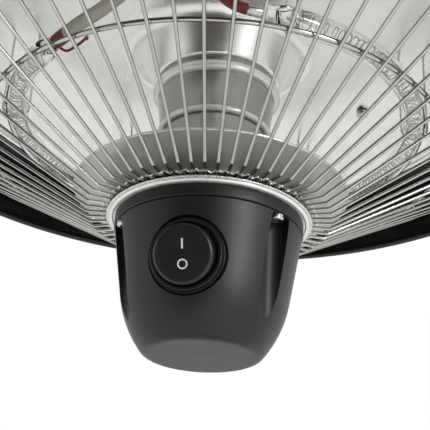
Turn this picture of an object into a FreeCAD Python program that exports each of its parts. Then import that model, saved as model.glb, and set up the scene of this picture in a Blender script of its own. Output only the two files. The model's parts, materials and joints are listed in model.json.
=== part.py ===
import FreeCAD
import Part
import math
import os

# Hanging patio heater: a domed hood, a ring lamp under a spun reflector, a wire guard and a switch cup.
# Millimetres. +Z is up, the switch faces -Y, and the origin is where a hook carries the bail.
# An azimuth is in degrees from the front, counter-clockwise seen from above.

# Fits, and how far a cutter runs past what it cuts
seat_gap = 0.1
turn_clearance = 0.06
curve_gap = 0.3
hole_clearance = 0.3
past = 1.0
beyond = 40.0

# Bail and its bracket
bail_wire = 6.0
bail_leg = 14.0
bail_bend = 7.0
bail_side_play = 1.0
bail_pin_overhang = 3.5
push_nut_width = 1.5
push_nut_radius = 6.0
pivot_height = 17.0
bracket_width = 24.0
bracket_sheet = 3.0
bracket_span = 58.0
bracket_screw_spacing = 40.0

# Hood
hood_diameter = 425.0
hood_sheet = 1.0
hood_shoulder_height = 55.0
hood_height = 109.2
hood_crown_radius = 68.0
hood_shoulder_round = 30.0
hood_crown_round = 30.0
hood_curl = 2.0

# Guard: the wires lie on the hub, run level over a shelf, then slope up into the hood, past its rim
guard_height = 66.8
guard_reach_in = 15.4
guard_wire = 1.8
guard_wire_count = 64
guard_first_wire = 4.2
guard_shelf = 10.4
guard_bend_round = 7.0
guard_weld_length = 6.0
guard_tip = 2.5
hoop_radius = 122.6
hoop_wire = 2.0
outer_ring_inset = 7.5
outer_ring_wire = 4.0
hub_radius = 52.0
hub_sheet = 1.5
hub_lip = 1.3
weld_ring_overhang = 5.0
weld_ring_inner = 20.0
weld_ring_sheet = 1.0
guard_clip_count = 4
guard_clip_width = 8.0
guard_clip_sheet = 1.0
guard_clip_height = 14.0

# Heat shield and stem
shield_radius = 72.0
shield_height = 14.3
shield_sheet = 0.8
shield_edge = 1.2
shield_spacer_wall = 3.0
stem_sheet = 0.8
lower_stem_radius = 28.0
stem_slip = 0.4
upper_stem_height = 81.0
upper_stem_bead = 2.4
upper_stem_bead_radius = 35.0
upper_stem_bead_step = 2.0
upper_stem_end_height = 54.5
upper_stem_end_roll = 1.0

# Reflector
reflector_radius = 150.0
reflector_rim_height = 86.0
reflector_sheet = 0.8
reflector_knee_radius = 118.0
reflector_knee_height = 99.0
reflector_neck_radius = 48.0
reflector_neck_height = 107.0
reflector_throat_step = 0.6
reflector_flange_radius = 24.0
reflector_knee_round = 40.0
reflector_neck_round = 14.0
reflector_throat_round = 2.5
reflector_edge = 1.4

# Tie rod and its spacer
tie_rod_diameter = 8.0
tie_rod_nut_width = 13.0
tie_rod_nut_height = 6.5
tie_rod_washer_radius = 8.0
tie_rod_washer = 1.6
tie_rod_overhang = 3.0
upper_spacer_radius = 9.0
upper_spacer_flange_radius = 28.0
upper_spacer_flange = 1.2

# Lamp
lamp_ring_radius = 106.8
lamp_height = 55.0
lamp_tube_diameter = 11.5
lamp_tube_wall = 1.2
lamp_start_azimuth = 28.7
lamp_sweep = 292.8
lamp_end_wall = 1.5
pinch_length = 9.0
pinch_thickness = 3.4
pinch_height = 11.0
pinch_round = 1.2
filament_curls = 88
filament_wire = 0.8
filament_coil_radius = 3.7
filament_lead_in = 6.6
filament_lead_out = 9.0
filament_end_gap = 0.5
clip_count = 5
clip_lead_in = 1.5
clip_step = 65.0
clip_wire = 1.2
clip_bend = 2.2
clip_foot = 9.0

# Earth screw beside the lamp
earth_azimuth = 130.0
earth_circle = 100.0
earth_washer_radius = 5.0
earth_washer = 0.8

# Leads
lead_diameter = 4.0
sleeve_diameter = 5.0
crimp_radius = 2.6
crimp_length = 8.0
grommet_radius = 5.5
grommet_groove = 1.6
grommet_play = 0.27
grommet_lip = 2.3
grommet_inset = 4.5
right_grommet_azimuth = 4.0
left_grommet_azimuth = -8.0
switch_cable_diameter = 5.0
switch_cable_offset = 15.0

# Gland and terminal block
gland_bore = 8.4
gland_barrel_radius = 7.8
gland_hex_width = 20.0
gland_hex_height = 6.0
gland_dome_height = 14.0
gland_dome_round = 5.0
gland_thread_length = 10.0
gland_nut_width = 22.0
gland_nut_height = 5.0
gland_offset = 38.0
block_length = 34.0
block_width = 20.0
block_height = 16.0
block_round = 1.5
block_centre_x = -34.0
block_centre_y = 18.0
block_screw_spacing = 26.0

# Small screws
small_screw_radius = 2.0
small_head_radius = 3.7
small_head_height = 2.6
small_head_round = 1.2
small_nut_width = 7.0
small_nut_height = 3.2
screw_end = 1.0

# Switch collar and cup
collar_step = 0.5
collar_height = 6.4
collar_wall = 3.0
collar_web = 2.8
cup_top_radius = 48.3
cup_taper = 9.5
cup_straight = 35.7
cup_side_round = 58.6
cup_height = 64.2
cup_wall = 2.5
cup_base_round = 2.5
cup_screw_azimuths = (60.0, 180.0, 300.0)
channel_inset = 3.9
channel_radius = 4.1
channel_wall = 1.6
channel_depth = 52.0
scoop_radius = 7.2
scoop_roof = 0.8
screw_ledge = 1.8

# Switch
switch_drop = 28.4
recess_radius = 19.3
recess_depth = 5.0
recess_floor = 2.5
switch_barrel_radius = 13.9
switch_barrel_length = 19.5
switch_barrel_wall = 1.3
switch_cavity_depth = 7.0
switch_flange = 0.8
seal_thickness = 0.7
seal_inset = 0.5
bezel_gap = 1.2
bezel_step = 0.9
bezel_wall = 1.6
bezel_step_height = -1.8
bezel_height = 1.0
bezel_round = 0.7
rocker_gap = 1.4
rocker_base_height = -0.5
rocker_face_height = 7.6
rocker_round = 1.6
rocker_wall = 2.4
rocker_axis_height = -1.0
rocker_pin_radius = 1.2
rocker_pin_length = 0.7
rocker_tilt = 10.0
rocker_rib_width = 8.0
rocker_rib_depth = 6.0
rocker_rib_drop = 6.5
blade_width = 6.3
blade_sheet = 0.8
blade_length = 9.0
blade_spacing = 9.0
blade_play = 0.2
boot_length = 20.0
boot_width = 14.0
boot_height = 11.0
boot_round = 2.0
boot_offset = 3.0

# Radii that follow from their neighbours
bail_span = bracket_span + 2 * (bracket_sheet + bail_side_play + bail_bend)
guard_bend_radius = hub_radius + guard_shelf
guard_wire_inner_end = hub_radius - guard_weld_length
outer_ring_radius = hood_diameter / 2 - outer_ring_inset
guard_wire_outer_end = outer_ring_radius + guard_tip
weld_ring_radius = hub_radius + weld_ring_overhang
shield_spacer_radius = lower_stem_radius - stem_sheet
upper_stem_top_radius = upper_stem_bead_radius - upper_stem_bead_step
upper_stem_end_radius = lower_stem_radius + stem_slip + 2 * upper_stem_end_roll
reflector_throat_radius = upper_stem_bead_radius - reflector_throat_step
grommet_ring_radius = lamp_ring_radius - grommet_inset
filament_start_azimuth = lamp_start_azimuth + filament_lead_in
filament_sweep = lamp_sweep - filament_lead_in - filament_lead_out
collar_radius = cup_top_radius + collar_step
cup_screw_circle = cup_top_radius - channel_inset
bezel_radius = recess_radius - bezel_gap
bezel_step_radius = bezel_radius - bezel_step
bezel_bore = bezel_step_radius - bezel_wall
rocker_radius = bezel_bore - rocker_gap
rocker_pin_reach = bezel_bore + rocker_pin_length
switch_cavity_radius = switch_barrel_radius - switch_barrel_wall

# Heights in the part's frame, worked up from the hub
crown_height = guard_height + hood_height
pivot_above_hub = crown_height + pivot_height
bail_top = pivot_above_hub + bail_leg + bail_span / 2
hub_z = -(bail_top - bail_wire / 2)
rim_z = hub_z + guard_height
crown_z = hub_z + crown_height
under_crown_z = crown_z - hood_sheet - seat_gap
pivot_z = hub_z + pivot_above_hub
shield_z = hub_z + shield_height
lamp_z = hub_z + lamp_height
wire_z = hub_z + hub_lip - hub_sheet / 2 + seat_gap + guard_wire / 2
weld_ring_z = wire_z + guard_wire / 2 + seat_gap
upper_stem_z = hub_z + upper_stem_height
reflector_flange_z = upper_stem_z + stem_sheet + seat_gap
spacer_z = reflector_flange_z + reflector_sheet + seat_gap
collar_top_z = hub_z - hub_sheet - seat_gap
parting_z = collar_top_z - collar_height
cup_top_z = parting_z - seat_gap
cup_base_z = cup_top_z - cup_height
ledge_z = collar_top_z - collar_web - seat_gap
guard_rise = (rim_z + guard_reach_in - wire_z) / (guard_wire_outer_end - guard_bend_radius)

ORIGIN = FreeCAD.Vector(0, 0, 0)
X_AXIS = FreeCAD.Vector(1, 0, 0)
Y_AXIS = FreeCAD.Vector(0, 1, 0)
Z_AXIS = FreeCAD.Vector(0, 0, 1)


def vector(x, y, z):
    return FreeCAD.Vector(x, y, z)


def around(radius, azimuth, z):
    turn = math.radians(azimuth)
    return vector(radius * math.sin(turn), -radius * math.cos(turn), z)


def tangent(azimuth):
    turn = math.radians(azimuth)
    return vector(math.cos(turn), math.sin(turn), 0)


def turned(shape, azimuth):
    return shape.rotated(ORIGIN, Z_AXIS, azimuth)


def save(name, *solids):
    shape = solids[0] if len(solids) == 1 else Part.makeCompound(list(solids))
    shape.exportStep("parts/" + name + ".step")


# Basic solids
def post(radius, low, high, x=0.0, y=0.0):
    return Part.makeCylinder(radius, high - low, vector(x, y, low))


def ring(inner, outer, low, high, x=0.0, y=0.0):
    return post(outer, low, high, x, y).cut(post(inner, low - past, high + past, x, y))


def bead(radius, thickness, z):
    return Part.makeTorus(radius, thickness, vector(0, 0, z))


def hexagon(width, low, high, x=0.0, y=0.0):
    corner = width / math.sqrt(3)
    turns = [math.radians(60 * i) for i in range(7)]
    points = [vector(x + corner * math.cos(t), y + corner * math.sin(t), low) for t in turns]
    return Part.Face(Part.makePolygon(points)).extrude(vector(0, 0, high - low))


def block(x0, x1, y0, y1, z0, z1):
    return Part.makeBox(x1 - x0, y1 - y0, z1 - z0, vector(x0, y0, z0))


def level_edges(shape, z):
    return [e for e in shape.Edges if abs(e.BoundBox.ZMin - z) < 1e-6 and e.BoundBox.ZLength < 1e-6]


def upright_edges(shape):
    return [e for e in shape.Edges if e.BoundBox.ZLength > 1e-6]


# Paths with rounded corners
def corner_arc(before, corner, after, radius):
    back = (before - corner).normalize()
    ahead = (after - corner).normalize()
    half = back.getAngle(ahead) / 2
    middle = (back + ahead).normalize()
    reach = radius / math.tan(half)
    nearest = corner + middle * (radius / math.sin(half) - radius)
    return corner + back * reach, nearest, corner + ahead * reach


def path_edges(points, radii):
    edges = []
    start = points[0]
    for i in range(1, len(points) - 1):
        if radii[i - 1] > 0:
            first, middle, last = corner_arc(points[i - 1], points[i], points[i + 1], radii[i - 1])
        else:
            first = middle = last = points[i]
        if start.distanceToPoint(first) > 1e-6:
            edges.append(Part.LineSegment(start, first).toShape())
        if radii[i - 1] > 0:
            edges.append(Part.Arc(first, middle, last).toShape())
        start = last
    if start.distanceToPoint(points[-1]) > 1e-6:
        edges.append(Part.LineSegment(start, points[-1]).toShape())
    return edges


def tube(edges, radius):
    path = Part.Wire(edges)
    first = path.OrderedEdges[0]
    start = first.valueAt(first.FirstParameter)
    direction = first.tangentAt(first.FirstParameter)
    section = Part.Wire(Part.makeCircle(radius, start, direction))
    pipe = Part.BRepOffsetAPI.MakePipeShell(path)
    pipe.add(section)
    pipe.build()
    pipe.makeSolid()
    return pipe.shape()


def volume_share(solid, edges, diameter):
    return solid.Volume / (math.pi * diameter ** 2 / 4 * sum(edge.Length for edge in edges))


# A lead's bends take up most of their two runs
def lead(name, points, diameter):
    radii = []
    for before, corner, after in zip(points, points[1:], points[2:]):
        back = before - corner
        ahead = after - corner
        half_turn = (math.pi - back.getAngle(ahead)) / 2
        radii.append(0.45 * min(back.Length, ahead.Length) / math.tan(half_turn))
    edges = path_edges(points, radii)
    solid = tube(edges, diameter / 2)
    length = sum(edge.Length for edge in edges)
    share = volume_share(solid, edges, diameter)
    print(name, "length %.0f, least bend %.1f, volume share %.3f" % (length, min(radii), share))
    return solid


# Sheet metal: an outline of (radius, height) points, thickened to its left or right, and turned about Z.
# A round takes at most its own share of the runs beside it.
def run_normals(points):
    normals = []
    for (r0, z0), (r1, z1) in zip(points, points[1:]):
        length = math.hypot(r1 - r0, z1 - z0)
        normals.append((-(z1 - z0) / length, (r1 - r0) / length))
    return normals


def limited_rounds(points, radii):
    lengths = [math.dist(a, b) for a, b in zip(points, points[1:])]
    normals = run_normals(points)
    shares = [0.48] * len(lengths)
    shares[0] = shares[-1] = 0.9
    rounds = []
    for i, radius in enumerate(radii):
        room = min(lengths[i] * shares[i], lengths[i + 1] * shares[i + 1])
        cosine = normals[i][0] * normals[i + 1][0] + normals[i][1] * normals[i + 1][1]
        half_turn = math.acos(max(-1.0, min(1.0, cosine))) / 2
        rounds.append(min(radius, room / math.tan(half_turn)))
    return rounds


def offset_outline(points, radii, distance):
    normals = run_normals(points)
    moved = [(points[0][0] + normals[0][0] * distance, points[0][1] + normals[0][1] * distance)]
    rounds = []
    for i in range(1, len(points) - 1):
        before = normals[i - 1]
        after = normals[i]
        scale = distance / (1 + before[0] * after[0] + before[1] * after[1])
        moved.append((points[i][0] + (before[0] + after[0]) * scale,
                      points[i][1] + (before[1] + after[1]) * scale))
        turns_left = before[0] * after[1] - before[1] * after[0] > 0
        rounds.append(max(0.0, radii[i - 1] + (-distance if turns_left else distance)))
    last = normals[-1]
    moved.append((points[-1][0] + last[0] * distance, points[-1][1] + last[1] * distance))
    return moved, rounds


def spun_sheet(points, radii, thickness):
    radii = limited_rounds(points, radii)
    other_points, other_radii = offset_outline(points, radii, thickness)
    near = [vector(r, 0, z) for r, z in points]
    far = [vector(r, 0, z) for r, z in other_points]
    edges = path_edges(near, radii) + path_edges(far, other_radii)
    edges.append(Part.LineSegment(near[0], far[0]).toShape())
    edges.append(Part.LineSegment(near[-1], far[-1]).toShape())
    outline = Part.Wire(Part.__sortEdges__(edges))
    return Part.Face(outline).revolve(ORIGIN, Z_AXIS, 360)


# A screw's head sits on a seat at height z: above it where up is +1, below it where up is -1
def pan_screw(x, y, z, length, up=1):
    head = post(small_head_radius, 0, small_head_height)
    head = head.makeFillet(small_head_round, level_edges(head, small_head_height))
    screw = head.fuse(post(small_screw_radius, -length, 0)).removeSplitter()
    if up < 0:
        screw.rotate(ORIGIN, X_AXIS, 180)
    screw.translate(vector(x, y, z))
    return screw


def hex_nut(width, height, bore, z, x=0.0, y=0.0):
    return hexagon(width, z, z + height, x, y).cut(post(bore, z - past, z + height + past, x, y))


def small_nut(z, x, y=0.0):
    return hex_nut(small_nut_width, small_nut_height, small_screw_radius + turn_clearance, z, x, y)


def screw_hole(low, high, x, y=0.0):
    return post(small_screw_radius + hole_clearance, low, high, x, y)


def rod_hole(low, high):
    return post(tie_rod_diameter / 2 + hole_clearance, low, high)


def cable_hole():
    return post(switch_cable_diameter / 2 + hole_clearance, cup_base_z, crown_z, 0, switch_cable_offset)


# Hanging bail, push nuts and bracket
def build_bail():
    leg = bail_span / 2
    pin_end = bracket_span / 2 - bail_pin_overhang
    shoulder_z = pivot_z + bail_leg
    left = [vector(-pin_end, 0, pivot_z), vector(-leg, 0, pivot_z), vector(-leg, 0, shoulder_z)]
    right = [vector(leg, 0, shoulder_z), vector(leg, 0, pivot_z), vector(pin_end, 0, pivot_z)]
    arch = Part.Arc(left[-1], vector(0, 0, shoulder_z + leg), right[0]).toShape()
    edges = path_edges(left, [bail_bend]) + [arch] + path_edges(right, [bail_bend])
    save("hanging_bail", tube(edges, bail_wire / 2))
    inner = bracket_span / 2 - curve_gap - push_nut_width
    nuts = []
    for side in (-1, 1):
        nut = ring(bail_wire / 2 + turn_clearance, push_nut_radius, inner, inner + push_nut_width)
        nut.rotate(ORIGIN, Y_AXIS, 90 * side)
        nut.translate(vector(0, 0, pivot_z))
        nuts.append(nut)
    save("bail_push_nuts", *nuts)


def build_bracket():
    low = crown_z + seat_gap
    high = low + bracket_sheet
    inner = bracket_span / 2
    outer = inner + bracket_sheet
    half = bracket_width / 2
    solid = block(-outer, outer, -half, half, low, high)
    for x in (-outer, inner):
        ear = block(x, x + bracket_sheet, -half, half, low, pivot_z)
        tip = Part.makeCylinder(half, bracket_sheet, vector(x, 0, pivot_z), X_AXIS)
        solid = solid.fuse([ear, tip])
    pin_hole = bail_wire / 2 + turn_clearance
    start = vector(-outer - past, 0, pivot_z)
    cuts = [Part.makeCylinder(pin_hole, 2 * (outer + past), start, X_AXIS), rod_hole(low - past, high + past)]
    screws = []
    nuts = []
    seat = high + seat_gap
    nut_z = under_crown_z - small_nut_height
    for x in (-bracket_screw_spacing / 2, bracket_screw_spacing / 2):
        cuts.append(screw_hole(low - past, high + past, x))
        screws.append(pan_screw(x, 0, seat, seat - nut_z + screw_end))
        nuts.append(small_nut(nut_z, x))
    save("hanger_bracket", solid.cut(cuts).removeSplitter())
    save("bracket_screws", *screws)
    save("bracket_nuts", *nuts)


# Hood with its rolled rim; the skirt is drilled for the guard clips and the crown for what hangs from it
def guard_clip_azimuths():
    step = 360.0 / guard_wire_count
    wires_apart = guard_wire_count // guard_clip_count
    first = guard_first_wire + (wires_apart // 2 + 0.5) * step
    return [first + i * wires_apart * step for i in range(guard_clip_count)]


def behind_wires(radius, wire):
    lift = (guard_wire + wire) / 2 + seat_gap
    return wire_z + (radius - guard_bend_radius) * guard_rise + lift * math.hypot(1, guard_rise)


def outer_ring_z():
    return behind_wires(outer_ring_radius, outer_ring_wire)


def clip_screw_z():
    return outer_ring_z() + (outer_ring_wire + guard_clip_height) / 2


def block_screw_places():
    half = block_screw_spacing / 2
    return [(block_centre_x - half, block_centre_y), (block_centre_x + half, block_centre_y)]


def build_hood():
    radius = hood_diameter / 2
    bore = tie_rod_diameter / 2 + hole_clearance
    points = [(radius, rim_z + hood_curl), (radius, rim_z + hood_shoulder_height),
              (hood_crown_radius, crown_z), (bore, crown_z)]
    hood = spun_sheet(points, [hood_shoulder_round, hood_crown_round], hood_sheet)
    hood = hood.fuse(bead(radius - hood_curl, hood_curl, rim_z + hood_curl))
    low = under_crown_z - past
    high = crown_z + past
    drills = [post(gland_barrel_radius + hole_clearance, low, high, 0, gland_offset)]
    for x in (-bracket_screw_spacing / 2, bracket_screw_spacing / 2):
        drills.append(screw_hole(low, high, x))
    for x, y in block_screw_places():
        drills.append(screw_hole(low, high, x, y))
    for azimuth in guard_clip_azimuths():
        start = around(radius - hood_sheet - past, azimuth, clip_screw_z())
        outward = around(1, azimuth, 0)
        size = small_screw_radius + hole_clearance
        drills.append(Part.makeCylinder(size, hood_sheet + 2 * past, start, outward))
    save("hood", hood.cut(drills).removeSplitter())


# Tie rod through everything, with its nuts, washers and the spacer above the reflector
def build_tie_rod():
    radius = tie_rod_diameter / 2
    bore = radius + turn_clearance
    top_seat = crown_z + seat_gap + bracket_sheet + seat_gap
    top_nut = top_seat + tie_rod_washer + seat_gap
    low_washer = ledge_z - tie_rod_washer
    low_nut = low_washer - seat_gap - tie_rod_nut_height
    save("tie_rod", post(radius, low_nut - tie_rod_overhang, top_nut + tie_rod_nut_height + tie_rod_overhang))
    save("tie_rod_nuts", *[hex_nut(tie_rod_nut_width, tie_rod_nut_height, bore, z) for z in (top_nut, low_nut)])
    save("tie_rod_washers", *[ring(bore, tie_rod_washer_radius, z, z + tie_rod_washer)
                              for z in (top_seat, low_washer)])
    spacer = post(upper_spacer_flange_radius, spacer_z, spacer_z + upper_spacer_flange)
    spacer = spacer.fuse(post(upper_spacer_radius, spacer_z, under_crown_z))
    spacer = spacer.cut([rod_hole(spacer_z - past, crown_z), cable_hole()])
    save("upper_spacer", spacer.removeSplitter())


# Reflector: one spun sheet, from the rolled rim over the ceiling into the flared neck
def reflector_underside(radius):
    share = (radius - reflector_neck_radius) / (reflector_knee_radius - reflector_neck_radius)
    return hub_z + reflector_neck_height + share * (reflector_knee_height - reflector_neck_height)


def ceiling_within(radius, reach):
    heights = (reflector_underside(radius - reach), reflector_underside(radius + reach))
    run = math.hypot(2 * reach, heights[1] - heights[0]) / (2 * reach)
    return min(heights), max(heights) + reflector_sheet * run


def clip_leg_radii():
    reach = lamp_tube_diameter / 2 + curve_gap + clip_wire / 2
    return (lamp_ring_radius - reach, lamp_ring_radius + reach)


def clip_azimuths():
    return [lamp_start_azimuth + clip_lead_in + i * clip_step for i in range(clip_count)]


def build_reflector():
    rim = hub_z + reflector_rim_height
    points = [(reflector_radius, rim), (reflector_knee_radius, hub_z + reflector_knee_height),
              (reflector_neck_radius, hub_z + reflector_neck_height),
              (reflector_throat_radius, reflector_flange_z), (reflector_flange_radius, reflector_flange_z)]
    rounds = [reflector_knee_round, reflector_neck_round, reflector_throat_round]
    sheet = spun_sheet(points, rounds, -reflector_sheet)
    sheet = sheet.fuse(bead(reflector_radius, reflector_edge, rim))
    holes = [(earth_circle, earth_azimuth, small_screw_radius + hole_clearance)]
    for azimuth in clip_azimuths():
        for radius in clip_leg_radii():
            holes.append((radius, azimuth, clip_wire / 2 + hole_clearance))
    for azimuth in (left_grommet_azimuth, right_grommet_azimuth):
        holes.append((grommet_ring_radius, azimuth, grommet_radius - grommet_groove))
    drills = []
    for radius, azimuth, size in holes:
        place = around(radius, azimuth, 0)
        drills.append(post(size, rim, crown_z, place.x, place.y))
    save("reflector", sheet.cut(drills).removeSplitter())


# Stem pieces and heat shield, stacked on the hub
def build_stem():
    top_z = upper_stem_z + stem_sheet
    bead_circle = upper_stem_bead_radius - upper_stem_bead
    end_circle = upper_stem_end_radius - upper_stem_end_roll
    bead_z = top_z - upper_stem_bead
    end_z = hub_z + upper_stem_end_height
    flange = post(bead_circle, upper_stem_z, top_z).cut(rod_hole(upper_stem_z - past, top_z + past))
    wall = spun_sheet([(upper_stem_top_radius, bead_z), (end_circle + stem_sheet / 2, end_z)], [], -stem_sheet)
    rolls = [bead(bead_circle, upper_stem_bead, bead_z), bead(end_circle, upper_stem_end_roll, end_z)]
    upper = flange.fuse([wall] + rolls).cut(cable_hole())
    save("upper_stem", upper.removeSplitter())
    low = shield_z + shield_sheet / 2 + seat_gap
    save("lower_stem", ring(lower_stem_radius - stem_sheet, lower_stem_radius, low, upper_stem_z - seat_gap))


def build_shield():
    low = shield_z - shield_sheet / 2
    high = shield_z + shield_sheet / 2
    edge = shield_radius - shield_edge
    disc = post(edge, low, high).fuse(bead(edge, shield_edge, shield_z))
    disc = disc.cut([rod_hole(low - past, high + past), cable_hole()])
    save("heat_shield", disc.removeSplitter())
    save("shield_spacer", ring(shield_spacer_radius - shield_spacer_wall, shield_spacer_radius,
                               weld_ring_z + weld_ring_sheet + seat_gap, low - seat_gap))


# Lamp: a ring of quartz tube with pinched ends and one long coil of wire inside
def lamp_point(azimuth, z=0.0):
    return around(lamp_ring_radius, azimuth, lamp_z + z)


def lamp_ring(radius):
    centre = lamp_point(lamp_start_azimuth)
    section = Part.Face(Part.Wire(Part.makeCircle(radius, centre, tangent(lamp_start_azimuth))))
    return section.revolve(ORIGIN, Z_AXIS, lamp_sweep)


def lamp_ends():
    return [(lamp_start_azimuth, -1), (lamp_start_azimuth + lamp_sweep, 1)]


def build_lamp():
    outer = lamp_tube_diameter / 2
    glass = lamp_ring(outer).cut(lamp_ring(outer - lamp_tube_wall))
    for azimuth, way in lamp_ends():
        along = tangent(azimuth) * way
        wall = Part.makeCylinder(outer, lamp_end_wall, lamp_point(azimuth), along)
        pinch = block(-pinch_thickness / 2, pinch_thickness / 2, 0, pinch_length + lamp_end_wall / 2,
                      -pinch_height / 2, pinch_height / 2)
        pinch = pinch.makeFillet(pinch_round, pinch.Edges)
        pinch.rotate(ORIGIN, Z_AXIS, azimuth - 90 * way)
        pinch.translate(lamp_point(azimuth) + along * (lamp_end_wall / 2))
        glass = glass.fuse([wall, pinch])
    save("lamp_tube", glass.removeSplitter())


# The coil opens up over its first curl and closes over its last one
def coil_point(turn):
    azimuth = filament_start_azimuth + filament_sweep * turn / filament_curls
    phase = 2 * math.pi * turn
    ease = min(1.0, turn, filament_curls - turn)
    radius = filament_coil_radius * ease * ease * (3 - 2 * ease)
    return around(lamp_ring_radius + radius * math.cos(phase), azimuth, lamp_z + radius * math.sin(phase))


def coil_direction(turn):
    step = 1e-4
    if turn < step:
        return tangent(filament_start_azimuth)
    if turn > filament_curls - step:
        return tangent(filament_start_azimuth + filament_sweep)
    return (coil_point(turn + step) - coil_point(turn - step)).normalize()


def arc_from(start, direction, end, reach):
    handle = start + direction * reach
    middle = (start + end) * 0.5
    half = start.distanceToPoint(end) / 2
    rise = handle - middle
    sagitta = half * math.tan(math.atan2(rise.Length, half) / 2)
    return Part.Arc(start, middle + rise.normalize() * sagitta, end).toShape()


def biarc(start, out, end, into):
    span = end - start
    spread = 2 * (1 - out.dot(into))
    along = span.dot(out + into)
    reach = (math.sqrt(along * along + spread * span.dot(span)) - along) / spread
    joint = (start + end + (out - into) * reach) * 0.5
    through = (end - into * reach - joint).normalize()
    return [arc_from(start, out, joint, reach), arc_from(joint, through, end, reach)]


def coil_gap():
    per_curl = 24
    points = [coil_point(i / per_curl) for i in range(per_curl * filament_curls + 1)]
    least = min(points[i].distanceToPoint(points[j]) for i in range(0, len(points), 6)
                for j in range(i + per_curl * 2 // 3, min(i + per_curl * 5 // 3, len(points))))
    return least - filament_wire


def build_filament():
    turns = [i / 2 for i in range(2 * filament_curls + 1)]
    edges = []
    for low, high in zip(turns, turns[1:]):
        edges += biarc(coil_point(low), coil_direction(low), coil_point(high), coil_direction(high))
    (first, _), (last, _) = lamp_ends()
    start = coil_point(0)
    end = coil_point(filament_curls)
    head = start.distanceToPoint(lamp_point(first)) - filament_end_gap
    tail = end.distanceToPoint(lamp_point(last)) - filament_end_gap
    edges.insert(0, Part.LineSegment(start - coil_direction(0) * head, start).toShape())
    edges.append(Part.LineSegment(end, end + coil_direction(filament_curls) * tail).toShape())
    solid = tube(edges, filament_wire / 2)
    share = volume_share(solid, edges, filament_wire)
    print("filament volume share %.3f, least gap to itself %.2f" % (share, coil_gap()))
    save("lamp_filament", solid)


# Wire clips that carry the lamp tube, hooked through the reflector, and the earth screw beside them
def build_clips():
    inner, outer = clip_leg_radii()
    bend_rise = 2 * curve_gap + clip_bend
    foot_rise = curve_gap + clip_wire / 2
    hole = clip_wire / 2 + hole_clearance
    feet = []
    for radius, foot in ((inner, inner - clip_foot / 2), (outer, outer + clip_foot / 2)):
        _, hole_top = ceiling_within(radius, hole)
        _, foot_top = ceiling_within(foot, clip_foot / 2)
        feet.append(max(hole_top + bend_rise, foot_top + foot_rise))
    foot_in, foot_out = feet
    clips = []
    for azimuth in clip_azimuths():
        near = [around(inner - clip_foot, azimuth, foot_in), around(inner, azimuth, foot_in),
                around(inner, azimuth, lamp_z)]
        far = [around(outer, azimuth, lamp_z), around(outer, azimuth, foot_out),
               around(outer + clip_foot, azimuth, foot_out)]
        cradle = Part.Arc(near[-1], lamp_point(azimuth, -(outer - inner) / 2), far[0]).toShape()
        edges = path_edges(near, [clip_bend]) + [cradle] + path_edges(far, [clip_bend])
        clips.append(tube(edges, clip_wire / 2))
    save("lamp_clips", *clips)


def build_earth():
    place = around(earth_circle, earth_azimuth, 0)
    low, _ = ceiling_within(earth_circle, small_head_radius)
    _, high = ceiling_within(earth_circle, earth_washer_radius)
    head_z = low - seat_gap
    washer_z = high + seat_gap
    nut_z = washer_z + earth_washer + seat_gap
    length = nut_z + small_nut_height + screw_end - head_z
    save("earth_screw", pan_screw(place.x, place.y, head_z, length, -1))
    save("earth_washer", ring(small_screw_radius + turn_clearance, earth_washer_radius,
                              washer_z, washer_z + earth_washer, place.x, place.y))
    save("earth_nut", small_nut(nut_z, place.x, place.y))


# Leads from the lamp's ends up through grommets to the terminal block, and the cable to the switch
def block_face(side):
    return vector(block_centre_x + side * block_length / 4, block_centre_y - block_width / 2 - curve_gap,
                  under_crown_z - block_height / 2)


def build_leads():
    reach = lamp_end_wall + pinch_length + seat_gap
    crimps = []
    starts = []
    for azimuth, way in lamp_ends():
        along = tangent(azimuth) * way
        crimp = lamp_point(azimuth) + along * reach
        crimps.append(Part.makeCylinder(crimp_radius, crimp_length, crimp, along))
        starts.append((crimp + along * (crimp_length + seat_gap), along))
    save("lead_crimps", *crimps)

    ceiling = reflector_underside(grommet_ring_radius)
    above = ceiling + 24
    hole = right_grommet_azimuth
    start, along = starts[0]
    right = [start, start + along * 9, around(106, 9, lamp_z + 7), around(103, hole + 2, lamp_z + 20),
             around(grommet_ring_radius, hole, ceiling - 8), around(grommet_ring_radius, hole, ceiling + 10),
             around(74, hole - 6, above), around(46, -30, above + 18),
             block_face(1) - vector(0, 16, 0), block_face(1)]
    save("lamp_lead_right", lead("right lead", right, lead_diameter))
    hole = left_grommet_azimuth
    start, along = starts[1]
    left = [start, start + along * 9, around(107, -18, lamp_z + 7), around(103, hole - 3, lamp_z + 20),
            around(grommet_ring_radius, hole, ceiling - 8), around(grommet_ring_radius, hole, ceiling + 10),
            around(78, hole - 9, above), around(56, -38, above + 16),
            block_face(-1) - vector(0, 18, 0), block_face(-1)]
    save("lamp_lead_left", lead("left lead", left, sleeve_diameter))

    low, high = ceiling_within(grommet_ring_radius, grommet_radius)
    low -= grommet_play
    high += grommet_play
    neck = grommet_radius - grommet_groove - hole_clearance
    grommets = []
    for azimuth, diameter in ((right_grommet_azimuth, lead_diameter), (left_grommet_azimuth, sleeve_diameter)):
        place = around(grommet_ring_radius, azimuth, 0)
        body = ring(diameter / 2 + curve_gap, grommet_radius, low - grommet_lip, high + grommet_lip,
                    place.x, place.y)
        grommets.append(body.cut(ring(neck, grommet_radius + past, low, high, place.x, place.y)))
    save("lead_grommets", *grommets)

    boot_z = cup_top_z - switch_drop + boot_width / 2
    block_z = under_crown_z - block_height - curve_gap
    cable = [vector(0, 0.5, boot_z), vector(0, switch_cable_offset, boot_z + 16),
             vector(0, switch_cable_offset, reflector_flange_z + 43), vector(-14, 16, reflector_flange_z + 58),
             vector(block_centre_x, block_centre_y, block_z - 14),
             vector(block_centre_x, block_centre_y, block_z)]
    save("switch_cable", lead("switch cable", cable, switch_cable_diameter))


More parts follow.
